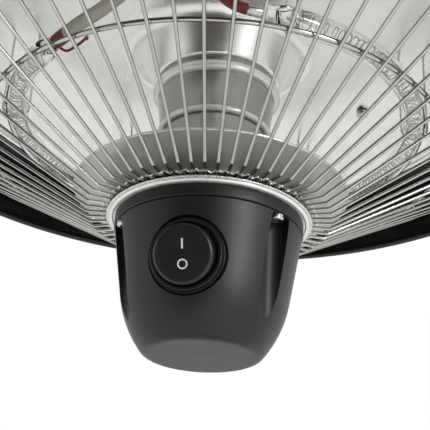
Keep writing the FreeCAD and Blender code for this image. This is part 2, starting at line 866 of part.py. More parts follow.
def build_terminal_block():
    low = under_crown_z - block_height
    half_length = block_length / 2
    half_width = block_width / 2
    body = block(block_centre_x - half_length, block_centre_x + half_length,
                 block_centre_y - half_width, block_centre_y + half_width, low, under_crown_z)
    body = body.makeFillet(block_round, upright_edges(body))
    holes = []
    screws = []
    for x, y in block_screw_places():
        holes.append(screw_hole(low - past, crown_z, x, y))
        screws.append(pan_screw(x, y, low - seat_gap, crown_z - low, -1))
    save("terminal_block", body.cut(holes))
    save("terminal_block_screws", *screws)


# Cable gland in the crown
def build_gland():
    seat = crown_z + seat_gap
    shoulder = seat + gland_hex_height
    top = shoulder + gland_dome_height
    end = seat - gland_thread_length
    dome = post(gland_hex_width / 2, seat, top, 0, gland_offset)
    dome = dome.makeFillet(gland_dome_round, level_edges(dome, top))
    barrel = post(gland_barrel_radius, end, shoulder, 0, gland_offset)
    body = hexagon(gland_hex_width, seat, shoulder, 0, gland_offset).fuse([dome, barrel])
    body = body.cut(post(gland_bore / 2, end - past, top + past, 0, gland_offset))
    save("cable_gland", body.removeSplitter())
    save("gland_nut", hex_nut(gland_nut_width, gland_nut_height, gland_barrel_radius + turn_clearance,
                              under_crown_z - gland_nut_height, 0, gland_offset))


# Guard: radial wires with one bend, a hoop behind them, an outer ring, and the hub they are welded to
def build_guard():
    end_z = wire_z + (guard_wire_outer_end - guard_bend_radius) * guard_rise
    points = [around(guard_wire_inner_end, guard_first_wire, wire_z),
              around(guard_bend_radius, guard_first_wire, wire_z),
              around(guard_wire_outer_end, guard_first_wire, end_z)]
    wire = tube(path_edges(points, [guard_bend_round]), guard_wire / 2)
    step = 360.0 / guard_wire_count
    save("guard_wires", *[turned(wire, i * step) for i in range(guard_wire_count)])
    save("guard_hoop", bead(hoop_radius, hoop_wire / 2, behind_wires(hoop_radius, hoop_wire)))
    save("guard_outer_ring", bead(outer_ring_radius, outer_ring_wire / 2, outer_ring_z()))


def build_hub():
    low = hub_z - hub_sheet
    edge = hub_radius - hub_lip
    plate = post(edge, low, hub_z).fuse(bead(edge, hub_lip, hub_z - hub_sheet / 2))
    plate = plate.cut([rod_hole(low - past, hub_z + past), cable_hole()])
    save("guard_base_ring", plate.removeSplitter())
    save("guard_weld_ring", ring(weld_ring_inner, weld_ring_radius, weld_ring_z, weld_ring_z + weld_ring_sheet))


# A clip folds over the outer ring and is screwed to the skirt from outside
def build_guard_clips():
    wall = hood_diameter / 2 - hood_sheet - seat_gap
    sheet = guard_clip_sheet
    half = guard_clip_width / 2
    grip = outer_ring_wire / 2 + curve_gap
    over = outer_ring_z() + grip
    under = outer_ring_z() - grip
    inside = outer_ring_radius - grip
    screw_z = clip_screw_z()
    clip = block(-half, half, wall - sheet, wall, over, screw_z + guard_clip_height / 2)
    clip = clip.fuse([block(-half, half, inside - sheet, wall, over, over + sheet),
                      block(-half, half, inside - sheet, inside, under - sheet, over + sheet),
                      block(-half, half, inside - sheet, outer_ring_radius + grip / 2, under - sheet, under)])
    start = vector(0, wall - sheet - past, screw_z)
    clip = clip.cut(Part.makeCylinder(small_screw_radius + turn_clearance, sheet + 2 * past, start, Y_AXIS))
    clip = clip.removeSplitter()
    screw = pan_screw(0, 0, 0, hood_sheet + 2 * seat_gap + sheet + 2 * screw_end)
    screw.rotate(ORIGIN, X_AXIS, -90)
    screw.translate(vector(0, hood_diameter / 2 + seat_gap, screw_z))
    save("guard_clips", *[turned(clip, azimuth + 180) for azimuth in guard_clip_azimuths()])
    save("guard_clip_screws", *[turned(screw, azimuth + 180) for azimuth in guard_clip_azimuths()])


# Switch collar and cup; the cup's screws go up through its channels into the collar
def screw_places():
    return [around(cup_screw_circle, azimuth, 0) for azimuth in cup_screw_azimuths]


def build_collar():
    body = post(collar_radius, parting_z, collar_top_z)
    body = body.cut(post(collar_radius - collar_wall, parting_z - past, collar_top_z - collar_web))
    cuts = [rod_hole(parting_z, collar_top_z + past), cable_hole()]
    for place in screw_places():
        boss = channel_radius + channel_wall + hole_clearance
        cuts.append(post(boss, parting_z - past, ledge_z + seat_gap, place.x, place.y))
        cuts.append(post(small_screw_radius + turn_clearance, parting_z, collar_top_z + past, place.x, place.y))
    save("switch_collar", body.cut(cuts).removeSplitter())


# The cup's outline: a straight tapered wall, one large round, a flat base; inset gives its inner wall
def cup_body(inset, top):
    taper = math.radians(cup_taper)
    down = vector(-math.sin(taper), 0, -math.cos(taper))
    inward = vector(-math.cos(taper), 0, math.sin(taper))
    mouth = vector(cup_top_radius, 0, cup_top_z)
    bend = mouth + down * (cup_straight / math.cos(taper))
    centre = bend + inward * cup_side_round
    radius = cup_side_round - inset
    base_z = cup_base_z + inset
    start = bend + inward * inset
    end = vector(centre.x + math.sqrt(radius ** 2 - (base_z - centre.z) ** 2), 0, base_z)
    middle = centre + ((start + end) * 0.5 - centre).normalize() * radius
    rim = mouth + inward * inset
    rim = rim - down * ((top - rim.z) / math.cos(taper))
    wall = path_edges([vector(0, 0, top), rim, start], [0]) + [Part.Arc(start, middle, end).toShape()]
    base = path_edges([end, vector(0, 0, base_z), vector(0, 0, top)], [0])
    return Part.Face(Part.Wire(wall + base)).revolve(ORIGIN, Z_AXIS, 360)


# The switch has its own frame: its axis leaves the wall square, its origin is on the wall
def in_switch_frame(shape):
    z = cup_top_z - switch_drop
    wall = vector(0, switch_drop * math.tan(math.radians(cup_taper)) - cup_top_radius, z)
    turn = FreeCAD.Rotation(X_AXIS, 90 + cup_taper)
    moved = shape.copy()
    moved.Placement = FreeCAD.Placement(wall, turn).multiply(moved.Placement)
    return moved


def build_cup():
    outer = cup_body(0, cup_top_z)
    base_edge = [e for e in level_edges(outer, cup_base_z) if e.BoundBox.XLength > 0]
    outer = outer.makeFillet(cup_base_round, base_edge)
    shell = outer.cut(cup_body(cup_wall, cup_top_z + past))
    envelope = cup_body(0, ledge_z).common(post(collar_radius - seat_gap, cup_base_z, ledge_z))
    floor = cup_top_z - channel_depth
    bosses = []
    cuts = []
    for place in screw_places():
        boss = post(channel_radius + channel_wall, floor, ledge_z, place.x, place.y)
        boss = boss.fuse(post(scoop_radius + channel_wall, floor, cup_top_z, place.x, place.y))
        bosses.append(boss.common(envelope))
        cuts.append(post(channel_radius, floor, ledge_z - screw_ledge, place.x, place.y))
        cuts.append(post(scoop_radius, cup_base_z - past, cup_top_z - scoop_roof, place.x, place.y))
        cuts.append(screw_hole(floor, ledge_z + past, place.x, place.y))
    back = -recess_depth - recess_floor
    seat = in_switch_frame(post(recess_radius + cup_wall, back, beyond)).common(outer)
    cuts.append(in_switch_frame(post(recess_radius, -recess_depth, beyond)))
    cuts.append(in_switch_frame(post(switch_barrel_radius + hole_clearance, back - past, 0)))
    save("switch_cup", shell.fuse(bosses + [seat]).cut(cuts).removeSplitter())
    seat_z = ledge_z - screw_ledge - seat_gap
    length = collar_top_z - seat_gap - seat_z
    save("cup_screws", *[pan_screw(place.x, place.y, seat_z, length, -1) for place in screw_places()])


# Switch: seal, body with terminals, bezel and the rocker that turns in it
def build_switch():
    seal = seat_gap - recess_depth
    flange_low = seal + seal_thickness + seat_gap
    flange_high = flange_low + switch_flange
    flange_radius = bezel_radius - hole_clearance
    save("switch_seal", in_switch_frame(ring(switch_barrel_radius + hole_clearance, flange_radius - seal_inset,
                                             seal, seal + seal_thickness)))
    back = flange_low - switch_barrel_length
    body = post(switch_barrel_radius, back, flange_high).fuse(post(flange_radius, flange_low, flange_high))
    body = body.cut(post(switch_cavity_radius, flange_high - switch_cavity_depth, flange_high + past))
    save("switch_body", in_switch_frame(body.removeSplitter()))
    build_terminals(back - seat_gap)
    build_bezel(flange_high + seat_gap)
    build_rocker()


def build_terminals(top):
    low = top - boot_offset - boot_height
    boot = block(-boot_length / 2, boot_length / 2, -boot_width / 2, boot_width / 2, low, top - boot_offset)
    boot = boot.makeFillet(boot_round, upright_edges(boot))
    blades = []
    for x in (-blade_spacing / 2, blade_spacing / 2):
        thin = blade_sheet / 2
        wide = blade_width / 2
        blades.append(in_switch_frame(block(x - thin, x + thin, -wide, wide, top - blade_length, top)))
        thin += blade_play
        wide += blade_play
        boot = boot.cut(block(x - thin, x + thin, -wide, wide, top - blade_length - curve_gap, top))
    save("switch_terminals", *blades)
    save("terminal_boot", in_switch_frame(boot))


def build_bezel(low):
    base = post(bezel_radius, low, bezel_step_height)
    base = base.makeFillet(bezel_round, level_edges(base, bezel_step_height))
    collar = post(bezel_step_radius, low, bezel_height)
    collar = collar.makeFillet(bezel_round, level_edges(collar, bezel_height))
    reach = rocker_pin_reach + seat_gap
    start = vector(-reach, 0, rocker_axis_height)
    pins = Part.makeCylinder(rocker_pin_radius + turn_clearance, 2 * reach, start, X_AXIS)
    bezel = base.fuse(collar).cut([post(bezel_bore, low - past, bezel_height + past), pins])
    save("switch_bezel", in_switch_frame(bezel.removeSplitter()))


def build_rocker():
    cap = post(rocker_radius, rocker_base_height, rocker_face_height)
    cap = cap.makeFillet(rocker_round, level_edges(cap, rocker_face_height))
    hollow = rocker_radius - rocker_wall
    cap = cap.cut(post(hollow, rocker_base_height - past, rocker_face_height - rocker_wall))
    half_width = rocker_rib_width / 2
    half_depth = rocker_rib_depth / 2
    rib = block(-half_width, half_width, -half_depth, half_depth,
                -rocker_rib_drop, rocker_face_height - rocker_wall / 2)
    inner = rocker_radius - rocker_wall / 2
    pins = []
    for side in (-1, 1):
        start = vector(side * inner, 0, rocker_axis_height)
        pins.append(Part.makeCylinder(rocker_pin_radius, rocker_pin_reach - inner, start, vector(side, 0, 0)))
    cap = cap.fuse([rib] + pins).removeSplitter()
    cap.rotate(vector(0, 0, rocker_axis_height), X_AXIS, rocker_tilt)
    save("rocker", in_switch_frame(cap))


os.makedirs("parts", exist_ok=True)
build_bail()
build_bracket()
build_hood()
build_tie_rod()
build_reflector()
build_stem()
build_shield()
build_lamp()
build_filament()
build_clips()
build_earth()
build_leads()
build_terminal_block()
build_gland()
build_guard()
build_hub()
build_guard_clips()
build_collar()
build_cup()
build_switch()
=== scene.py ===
import json
import math
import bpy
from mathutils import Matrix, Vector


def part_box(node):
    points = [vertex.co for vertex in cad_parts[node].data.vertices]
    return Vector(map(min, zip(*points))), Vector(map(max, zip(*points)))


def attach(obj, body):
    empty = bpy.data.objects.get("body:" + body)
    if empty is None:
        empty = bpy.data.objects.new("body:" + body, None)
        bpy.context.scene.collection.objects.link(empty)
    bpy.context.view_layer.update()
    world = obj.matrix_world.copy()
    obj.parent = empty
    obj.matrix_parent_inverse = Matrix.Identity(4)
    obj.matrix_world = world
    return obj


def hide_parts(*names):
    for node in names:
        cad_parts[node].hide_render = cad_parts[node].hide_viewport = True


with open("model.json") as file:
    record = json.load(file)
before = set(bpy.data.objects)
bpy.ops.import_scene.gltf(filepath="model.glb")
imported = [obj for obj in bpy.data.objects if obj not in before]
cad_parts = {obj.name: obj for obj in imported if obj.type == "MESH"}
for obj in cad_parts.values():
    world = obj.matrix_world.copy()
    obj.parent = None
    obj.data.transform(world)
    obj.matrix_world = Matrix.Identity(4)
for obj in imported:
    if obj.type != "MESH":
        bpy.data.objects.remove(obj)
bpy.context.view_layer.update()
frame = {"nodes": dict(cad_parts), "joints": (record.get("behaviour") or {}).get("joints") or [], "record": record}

from types import SimpleNamespace

import bmesh
import bpy
from mathutils import Matrix, Vector

# Hanging patio heater. Metres, +Z up, the switch faces -Y, azimuths in degrees from the front.
# Settings are in mm and degrees unless a note says otherwise.
scene = bpy.context.scene
mm = 0.001
onAxis = 1e-7   # radii below this are points on the axis
slotOf = {part["node"]: part["material_slot"] for part in frame["record"]["subparts"]}
bodyOf = {node: body for body, nodes in frame["record"]["behaviour"]["bodies"].items() for node in nodes}
replaced = set()


def hexColour(code, share=1.0):   # sRGB hex to the linear colour that a socket takes, darkened to a share
    channels = [int(code[i:i + 2], 16) / 255 for i in (1, 3, 5)]
    return [share * (c / 12.92 if c <= 0.04045 else ((c + 0.055) / 1.055) ** 2.4) for c in channels] + [1.0]


# Settings are values, or other nodes' outputs to link; the node's own output may go to a socket
def addNode(tree, kind, settings=None, out=0, to=None):
    node = tree.nodes.new(kind)
    for key, value in (settings or {}).items():
        if isinstance(value, bpy.types.NodeSocket):
            tree.links.new(value, node.inputs[key])
        elif isinstance(key, int) or key in node.inputs:
            node.inputs[key].default_value = value
        else:
            setattr(node, key, value)
    if to is not None:
        tree.links.new(node.outputs[out], to)
    return node.outputs if out is None else node.outputs[out]


def inMetres(shape):
    return {key: value * mm for key, value in shape.items()}


def around(radius, azimuth, z):
    turn = math.radians(azimuth)
    return Vector((radius * math.sin(turn), -radius * math.cos(turn), z))


def tangentAt(azimuth):
    turn = math.radians(azimuth)
    return Vector((math.cos(turn), math.sin(turn), 0))


def circle(steps):   # even turns, in radians
    return [2 * math.pi * k / steps for k in range(steps)]


def midHeight(node):
    low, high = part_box(node)
    return (low.z + high.z) / 2


# Finishes
def newFinish(name, sockets):
    finish = bpy.data.materials.new(name)
    finish.use_nodes = True
    tree = finish.node_tree
    inputs = tree.nodes["Principled BSDF"].inputs
    for key, value in sockets.items():
        inputs[key].default_value = hexColour(value) if isinstance(value, str) else value
    return SimpleNamespace(finish=finish, tree=tree, inputs=inputs,
                           place=addNode(tree, "ShaderNodeTexCoord", out="Object"))


# A finish that follows soft clouds, each of a size and a detail: its colour runs from deep to pale, its
# roughness from low to high, and its relief has a strength and a depth
def cloudy(name, sockets, colour=None, rough=None, relief=None):
    f = newFinish(name, sockets)
    for goal, look in (("Base Color", colour), ("Roughness", rough), ("Normal", relief)):
        if not look:
            continue
        cloud = addNode(f.tree, "ShaderNodeTexNoise", {
            "Scale": 1 / (look["size"] * mm), "Detail": look["detail"], "Vector": f.place}, "Fac")
        if look is colour:
            addNode(f.tree, "ShaderNodeMix", {
                "data_type": "RGBA", 0: cloud, 6: hexColour(look["deep"]), 7: hexColour(look["pale"])},
                out=2, to=f.inputs[goal])
        elif look is rough:
            addNode(f.tree, "ShaderNodeMapRange", {
                "Value": cloud, "To Min": look["low"], "To Max": look["high"]}, to=f.inputs[goal])
        else:
            addNode(f.tree, "ShaderNodeBump", {
                "Height": cloud, "Strength": look["strength"], "Distance": look["depth"] * mm},
                to=f.inputs[goal])
    return f.finish


def blackEnamel():   # baked powder coat: fine orange peel breaks up its soft highlights
    return cloudy("blackEnamel", {"Base Color": "#0d0d0e", "IOR": 1.5},
                  rough={"size": 35.0, "detail": 3.0, "low": 0.3, "high": 0.42},
                  relief={"size": 1.8, "detail": 2.0, "strength": 0.4, "depth": 0.02})


def nickelWire():   # bright nickel on drawn wire: pale along its middle; its dark edge tint is painted shade along its grazing edges
    return cloudy("nickelWire", {"Metallic": 1.0, "Specular Tint": "#262626"},
                  colour={"size": 7.0, "detail": 4.0, "deep": "#a9a9a6", "pale": "#bfbfbc"},
                  rough={"size": 7.0, "detail": 4.0, "low": 0.1, "high": 0.18})


def clearQuartz():   # drawn quartz tube: clear, with slow waves that wobble what is seen through it
    return cloudy("clearQuartz", {
        "Base Color": "#fbfcfc", "Roughness": 0.02, "IOR": 1.46, "Transmission Weight": 1.0},
        relief={"size": 9.0, "detail": 1.0, "strength": 0.3, "depth": 0.15})


def drawnTungsten():   # drawn filament wire: grey metal, browned in patches by heat
    return cloudy("drawnTungsten", {"Metallic": 1.0, "Roughness": 0.32},
                  colour={"size": 3.0, "detail": 3.0, "deep": "#6f6c68", "pale": "#b9b6b1"})


def mouldedNylon():   # glass-filled nylon, spark-eroded mould: even satin grain, drawn coarse enough to show
    return cloudy("mouldedNylon", {"Base Color": "#0e0e0e", "IOR": 1.47},
                  rough={"size": 11.0, "detail": 4.0, "low": 0.4, "high": 0.5},
                  relief={"size": 0.7, "detail": 2.0, "strength": 0.5, "depth": 0.06})


def rockerNylon():   # smoother moulding on the switch: tighter highlights at its rims
    return cloudy("rockerNylon", {"Base Color": "#131314", "IOR": 1.5},
                  rough={"size": 6.0, "detail": 3.0, "low": 0.3, "high": 0.42},
                  relief={"size": 0.5, "detail": 1.0, "strength": 0.3, "depth": 0.012})


def brassStrip():   # punched brass: warm metal with a fine unevenness
    return cloudy("brassStrip", {"Metallic": 1.0, "Base Color": "#c3a45c"},
                  rough={"size": 0.8, "detail": 3.0, "low": 0.22, "high": 0.36})


def weldedPlate():   # plate over spot welds: crinkled relief, with a colour that runs pale and dark in step with it, so painted bright and dark flecks join the ones the relief throws
    return cloudy("weldedPlate", {"Metallic": 0.8, "Roughness": 0.2},
                  colour={"size": 1.6, "detail": 3.0, "deep": "#a8a8a6", "pale": "#f2f2f0"},
                  relief={"size": 1.6, "detail": 3.0, "strength": 0.8, "depth": 0.7})


def rolledBead():   # rolled beads and a lip: a paler, partly matt copy of the metal about them, a painted highlight that makes them the palest metal here
    return cloudy("rolledBead", {"Metallic": 0.5, "Roughness": 0.25},
                  colour={"size": 6.0, "detail": 3.0, "deep": "#e2e2df", "pale": "#f6f6f4"})


mouldingLook = {"shade": 0.7, "spread": 0.08, "strength": 0.5, "depth": 0.06, "detail": 3.0, "ior": 1.45}


def plainMoulding(name, colour, roughness, size):   # rubber, silicone and nylon: matt, finely uneven
    look = mouldingLook
    f = newFinish(name, {"IOR": look["ior"]})
    grain = addNode(f.tree, "ShaderNodeTexNoise", {
        "Scale": 1 / (size * mm), "Detail": look["detail"], "Vector": f.place}, "Fac")
    addNode(f.tree, "ShaderNodeMix", {
        "data_type": "RGBA", 0: grain, 6: hexColour(colour, look["shade"]), 7: hexColour(colour)},
        out=2, to=f.inputs["Base Color"])
    addNode(f.tree, "ShaderNodeMapRange", {
        "Value": grain, "To Min": roughness - look["spread"], "To Max": roughness + look["spread"]},
        to=f.inputs["Roughness"])
    addNode(f.tree, "ShaderNodeBump", {
        "Height": grain, "Strength": look["strength"], "Distance": look["depth"] * mm}, to=f.inputs["Normal"])
    return f.finish


# A wave node takes 20 radians to a unit, so its scale for bands this far apart is 2 pi over 20 times that
spunLook = {"colour": "#e9e9e7", "ring": 1.3, "ringDepth": 0.003, "swell": 28.0, "swellDepth": 0.5,
            "smudge": 16.0, "bright": 0.18, "dull": 0.32, "grain": 0.3}


def spunAluminium():   # bright spun sheet: tool rings about the axis, and slow swells that bend reflections
    look = spunLook
    f = newFinish("spunAluminium", {
        "Base Color": look["colour"], "Metallic": 1.0, "Anisotropic": look["grain"]})
    rings = addNode(f.tree, "ShaderNodeTexWave", {
        "wave_type": "RINGS", "rings_direction": "Z", "Scale": 2 * math.pi / (20 * look["ring"] * mm),
        "Distortion": 0.6, "Detail": 2.0, "Detail Scale": 1.5, "Vector": f.place}, "Fac")
    swell = addNode(f.tree, "ShaderNodeTexNoise", {
        "Scale": 1 / (look["swell"] * mm), "Detail": 1.0, "Vector": f.place}, "Fac")
    wide = addNode(f.tree, "ShaderNodeBump", {
        "Strength": 1.0, "Distance": look["swellDepth"] * mm, "Height": swell})
    addNode(f.tree, "ShaderNodeBump", {
        "Strength": 0.5, "Distance": look["ringDepth"] * mm, "Height": rings, "Normal": wide},
        to=f.inputs["Normal"])
    smudge = addNode(f.tree, "ShaderNodeTexNoise", {
        "Scale": 1 / (look["smudge"] * mm), "Detail": 4.0, "Vector": f.place}, "Fac")
    addNode(f.tree, "ShaderNodeMapRange", {
        "Value": smudge, "To Min": look["bright"], "To Max": look["dull"]}, to=f.inputs["Roughness"])
    addNode(f.tree, "ShaderNodeTangent", {"direction_type": "RADIAL", "axis": "Z"}, to=f.inputs["Tangent"])
    return f.finish


stemLook = {"pale": "#a4a4a1", "deep": "#8c8c89", "line": 0.9, "lineDepth": 0.002, "roughness": 0.24,
            "grain": 0.4}


def turnedAluminium():   # satin turned tube: level lines that draw each highlight out into an upright streak
    look = stemLook
    f = newFinish("turnedAluminium", {
        "Metallic": 1.0, "Roughness": look["roughness"], "Anisotropic": look["grain"]})
    lines = addNode(f.tree, "ShaderNodeTexWave", {
        "wave_type": "BANDS", "bands_direction": "Z", "Scale": 2 * math.pi / (20 * look["line"] * mm),
        "Distortion": 3.0, "Detail": 3.0, "Detail Scale": 2.0, "Vector": f.place}, "Fac")
    addNode(f.tree, "ShaderNodeMix", {
        "data_type": "RGBA", 0: lines, 6: hexColour(look["deep"]), 7: hexColour(look["pale"])},
        out=2, to=f.inputs["Base Color"])
    addNode(f.tree, "ShaderNodeBump", {
        "Strength": 0.5, "Distance": look["lineDepth"] * mm, "Height": lines}, to=f.inputs["Normal"])
    addNode(f.tree, "ShaderNodeTangent", {"direction_type": "RADIAL", "axis": "Z"}, to=f.inputs["Tangent"])
    return f.finish


rolledLook = {"pale": "#e6e6e2", "deep": "#cfcfcb", "streak": 2.0, "length": 40.0, "depth": 0.02}


def rolledSteel():   # bare rolled sheet: faint streaks along the rolling direction
    look = rolledLook
    f = newFinish("rolledSteel", {"Metallic": 0.6, "Roughness": 0.25})
    scale = [1 / (look[key] * mm) for key in ("length", "streak", "streak")]
    drawn = addNode(f.tree, "ShaderNodeMapping", {"Scale": scale, "Vector": f.place})
    streaks = addNode(f.tree, "ShaderNodeTexNoise", {"Scale": 1.0, "Detail": 3.0, "Vector": drawn}, "Fac")
    addNode(f.tree, "ShaderNodeMix", {
        "data_type": "RGBA", 0: streaks, 6: hexColour(look["deep"]), 7: hexColour(look["pale"])},
        out=2, to=f.inputs["Base Color"])
    addNode(f.tree, "ShaderNodeBump", {
        "Strength": 0.15, "Distance": look["depth"] * mm, "Height": streaks}, to=f.inputs["Normal"])
    return f.finish


zincLook = {"crystal": 1.5, "deep": "#bfc1c0", "pale": "#d3d4d1", "bright": 0.2, "dull": 0.32}


def zincPlate():   # bright zinc: cool metal with small crystals of differing shade
    look = zincLook
    f = newFinish("zincPlate", {"Metallic": 1.0})
    crystal = addNode(f.tree, "ShaderNodeTexVoronoi", {
        "Scale": 1 / (look["crystal"] * mm), "Vector": f.place}, "Color")
    shades = addNode(f.tree, "ShaderNodeSeparateColor", {"Color": crystal}, None)
    addNode(f.tree, "ShaderNodeMix", {
        "data_type": "RGBA", 0: shades["Red"], 6: hexColour(look["deep"]), 7: hexColour(look["pale"])},
        out=2, to=f.inputs["Base Color"])
    addNode(f.tree, "ShaderNodeMapRange", {
        "Value": shades["Green"], "To Min": look["bright"], "To Max": look["dull"]}, to=f.inputs["Roughness"])
    return f.finish


# The threads' lean is in radians
braidLook = {"thread": 0.9, "lean": 0.6, "deep": "#8f8d83", "pale": "#c1bfb5", "depth": 0.15}


def glassBraid():   # woven glass sleeve: slanted threads that cross
    look = braidLook
    f = newFinish("glassBraid", {"Roughness": 0.7, "Sheen Weight": 0.2})
    along = addNode(f.tree, "ShaderNodeUVMap", {"uv_map": "along"})
    threads = []
    for lean in (look["lean"], -look["lean"]):
        turned = addNode(f.tree, "ShaderNodeMapping", {"Rotation": (0, 0, lean), "Vector": along})
        threads.append(addNode(f.tree, "ShaderNodeTexWave", {
            "Scale": 2 * math.pi / (20 * look["thread"] * mm), "bands_direction": "Y",
            "Vector": turned}, "Fac"))
    weave = addNode(f.tree, "ShaderNodeMath", {"operation": "MULTIPLY", 0: threads[0], 1: threads[1]})
    addNode(f.tree, "ShaderNodeMix", {
        "data_type": "RGBA", 0: weave, 6: hexColour(look["deep"]), 7: hexColour(look["pale"])},
        out=2, to=f.inputs["Base Color"])
    addNode(f.tree, "ShaderNodeBump", {
        "Strength": 0.5, "Distance": look["depth"] * mm, "Height": weave}, to=f.inputs["Normal"])
    return f.finish


finishes = {
    "black_enamel": blackEnamel(), "zinc_plate": zincPlate(), "guard_chrome": nickelWire(),
    "reflector_aluminium": spunAluminium(), "stem_aluminium": turnedAluminium(),
    "shield_steel": rolledSteel(), "quartz": clearQuartz(), "filament_wire": drawnTungsten(),
    "black_plastic": mouldedNylon(), "rocker_plastic": rockerNylon(), "grey_sleeve": glassBraid(),
    "brass": brassStrip(), "white_plastic": plainMoulding("whiteNylon", "#dcd9ce", roughness=0.45, size=1.2),
    "black_rubber": plainMoulding("blackRubber", "#191919", roughness=0.65, size=0.8),
    "red_silicone": plainMoulding("redSilicone", "#6e241f", roughness=0.5, size=0.7)}
# weld finish: painted bright and dark flecks on crinkled relief
weldFinish = weldedPlate()
# a paler copy of the metal: painted highlight for the stem's beads and the hub's lip
paintedHighlightFinish = rolledBead()
markFinish = plainMoulding("whiteInk", "#dcdce0", roughness=0.5, size=0.4)
print("finishes made")


# Mesh helpers
def newPiece(name, data):
    piece = bpy.data.objects.new(name, data)
    scene.collection.objects.link(piece)
    return piece


def meshFrom(name, bm):
    mesh = bpy.data.meshes.new(name)
    bm.to_mesh(mesh)
    bm.free()
    return mesh


def plainMesh(piece):   # what its modifiers or its curve make
    graph = bpy.context.evaluated_depsgraph_get()
    return bpy.data.meshes.new_from_object(piece.evaluated_get(graph), depsgraph=graph)


def settle(piece):
    mesh = plainMesh(piece)
    piece.modifiers.clear()
    piece.data = mesh
    return piece


def shade(piece, angle=35):
    mesh = piece.data
    mesh.polygons.foreach_set("use_smooth", [True] * len(mesh.polygons))
    mesh.set_sharp_from_angle(angle=math.radians(angle))
    return piece


def dress(piece, slot, body, *nodes, finish=None):
    piece.data.materials.clear()
    piece.data.materials.append(finish or finishes[slot])
    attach(piece, body)
    if nodes:
        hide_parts(*nodes)
        replaced.update(nodes)
    return piece


def roundOff(corners, closed=False, step=9):   # corners are (radius, height, round); a round becomes an arc
    points = []
    last = len(corners) - 1
    for i, (r, z, size) in enumerate(corners):
        corner = Vector((r, z))
        if size == 0 or (not closed and i in (0, last)):
            points.append(corner)
            continue
        back = Vector(corners[i - 1][:2]) - corner
        ahead = Vector(corners[(i + 1) % (last + 1)][:2]) - corner
        half = back.angle(ahead) / 2
        back.normalize()
        ahead.normalize()
        centre = corner + (back + ahead).normalized() * (size / math.sin(half))
        first = corner + back * (size / math.tan(half)) - centre
        final = corner + ahead * (size / math.tan(half)) - centre
        sweep = math.atan2(first.x * final.y - first.y * final.x, first.dot(final))
        steps = max(2, math.ceil(abs(math.degrees(sweep)) / step))
        for k in range(steps + 1):
            c, s = math.cos(sweep * k / steps), math.sin(sweep * k / steps)
            points.append(centre + Vector((first.x * c - first.y * s, first.x * s + first.y * c)))
    return points


def divide(points, length):   # adds points so that no run is longer than this
    fine = [points[0]]
    for a, b in zip(points, points[1:]):
        parts = max(1, math.ceil((b - a).length / length))
        fine += [a.lerp(b, k / parts) for k in range(1, parts + 1)]
    return fine


def outline(*points):
    return [Vector(p) for p in points]


def barOutline(inner, outer, low, high):
    return outline((inner, low), (outer, low), (outer, high), (inner, high))


def ringOutline(radius, height, size, steps=16, rise=None):   # an ellipse where rise is given
    high = rise or size
    return [Vector((radius + size * math.cos(t), height + high * math.sin(t))) for t in circle(steps)]


def skin(bm, rings, closed):   # faces between rings of points; a ring may be one point
    for a, b in zip(rings, rings[1:] + (rings[:1] if closed else [])):
        count = max(len(a), len(b))
        for i in range(count):
            j = (i + 1) % count
            if len(a) == 1:
                bm.faces.new((a[0], b[j], b[i]))
            elif len(b) == 1:
                bm.faces.new((a[i], a[j], b[0]))
            else:
                bm.faces.new((a[i], a[j], b[j], b[i]))


# Turns an outline about Z; the outside is on the right of its way
def spin(name, points, closed=True, segments=192):
    bm = bmesh.new()
    rings = []
    for r, z in points:
        spots = [around(r, 360 * i / segments, z) for i in range(segments)] if r >= onAxis else [(0, 0, z)]
        rings.append([bm.verts.new(spot) for spot in spots])
    skin(bm, rings, closed)
    return newPiece(name, meshFrom(name, bm))


def spinSheet(name, points, thickness, segments=192):   # thickness goes to the left of the outline's way
    piece = spin(name, points, closed=False, segments=segments)
    wall = piece.modifiers.new("wall", "SOLIDIFY")
    wall.thickness = thickness
    wall.offset = -1
    wall.use_even_offset = True
    return settle(piece)


def carve(piece, tool, way="DIFFERENCE"):
    cut = piece.modifiers.new("carve", "BOOLEAN")
    cut.operation = way
    cut.solver = "EXACT"
    cut.object = tool
    settle(piece)
    bpy.data.objects.remove(tool)
    return piece


def joined(name, pieces):
    bm = bmesh.new()
    for piece in pieces:
        bm.from_mesh(piece.data)
        bpy.data.objects.remove(piece)
    return newPiece(name, meshFrom(name, bm))


def post(name, radius, low, high, place=(0, 0, 0), segments=64):
    piece = spin(name, barOutline(0, radius, low, high), closed=False, segments=segments)
    piece.data.transform(Matrix.Translation(place))
    return piece


def cadMesh(node):   # a CAD piece's own mesh, with doubled points merged
    bm = bmesh.new()
    bm.from_mesh(frame["nodes"][node].data)
    bmesh.ops.remove_doubles(bm, verts=bm.verts, dist=0.001 * mm)
    return bm


# Geometry Nodes: trees are built once, run on a base mesh and kept as plain meshes
def newTree(name, inputs):   # inputs: socket kinds with the names of their sockets
    tree = bpy.data.node_groups.new(name, "GeometryNodeTree")
    tree.interface.new_socket("Geometry", in_out="INPUT", socket_type="NodeSocketGeometry")
    for kind, labels in inputs.items():
        for label in labels.split(", "):
            tree.interface.new_socket(label, in_out="INPUT", socket_type="NodeSocket" + kind)
    tree.interface.new_socket("Geometry", in_out="OUTPUT", socket_type="NodeSocketGeometry")
    return tree, addNode(tree, "NodeGroupInput", out=None)


def endTree(tree, geometry, finish):
    real = addNode(tree, "GeometryNodeRealizeInstances", {"Geometry": geometry})
    soft = addNode(tree, "GeometryNodeSetShadeSmooth", {"Geometry": real})
    dressed = addNode(tree, "GeometryNodeSetMaterial", {"Geometry": soft, "Material": finish})
    addNode(tree, "NodeGroupOutput", {"Geometry": dressed}, None)
    return tree


def grow(name, tree, values, mesh=None):
    piece = newPiece(name, mesh or bpy.data.meshes.new(name))
    step = piece.modifiers.new("grow", "NODES")
    step.node_group = tree
    for item in tree.interface.items_tree:
        if item.in_out == "INPUT" and item.name in values:
            step[item.identifier] = values[item.name]
    return settle(piece)


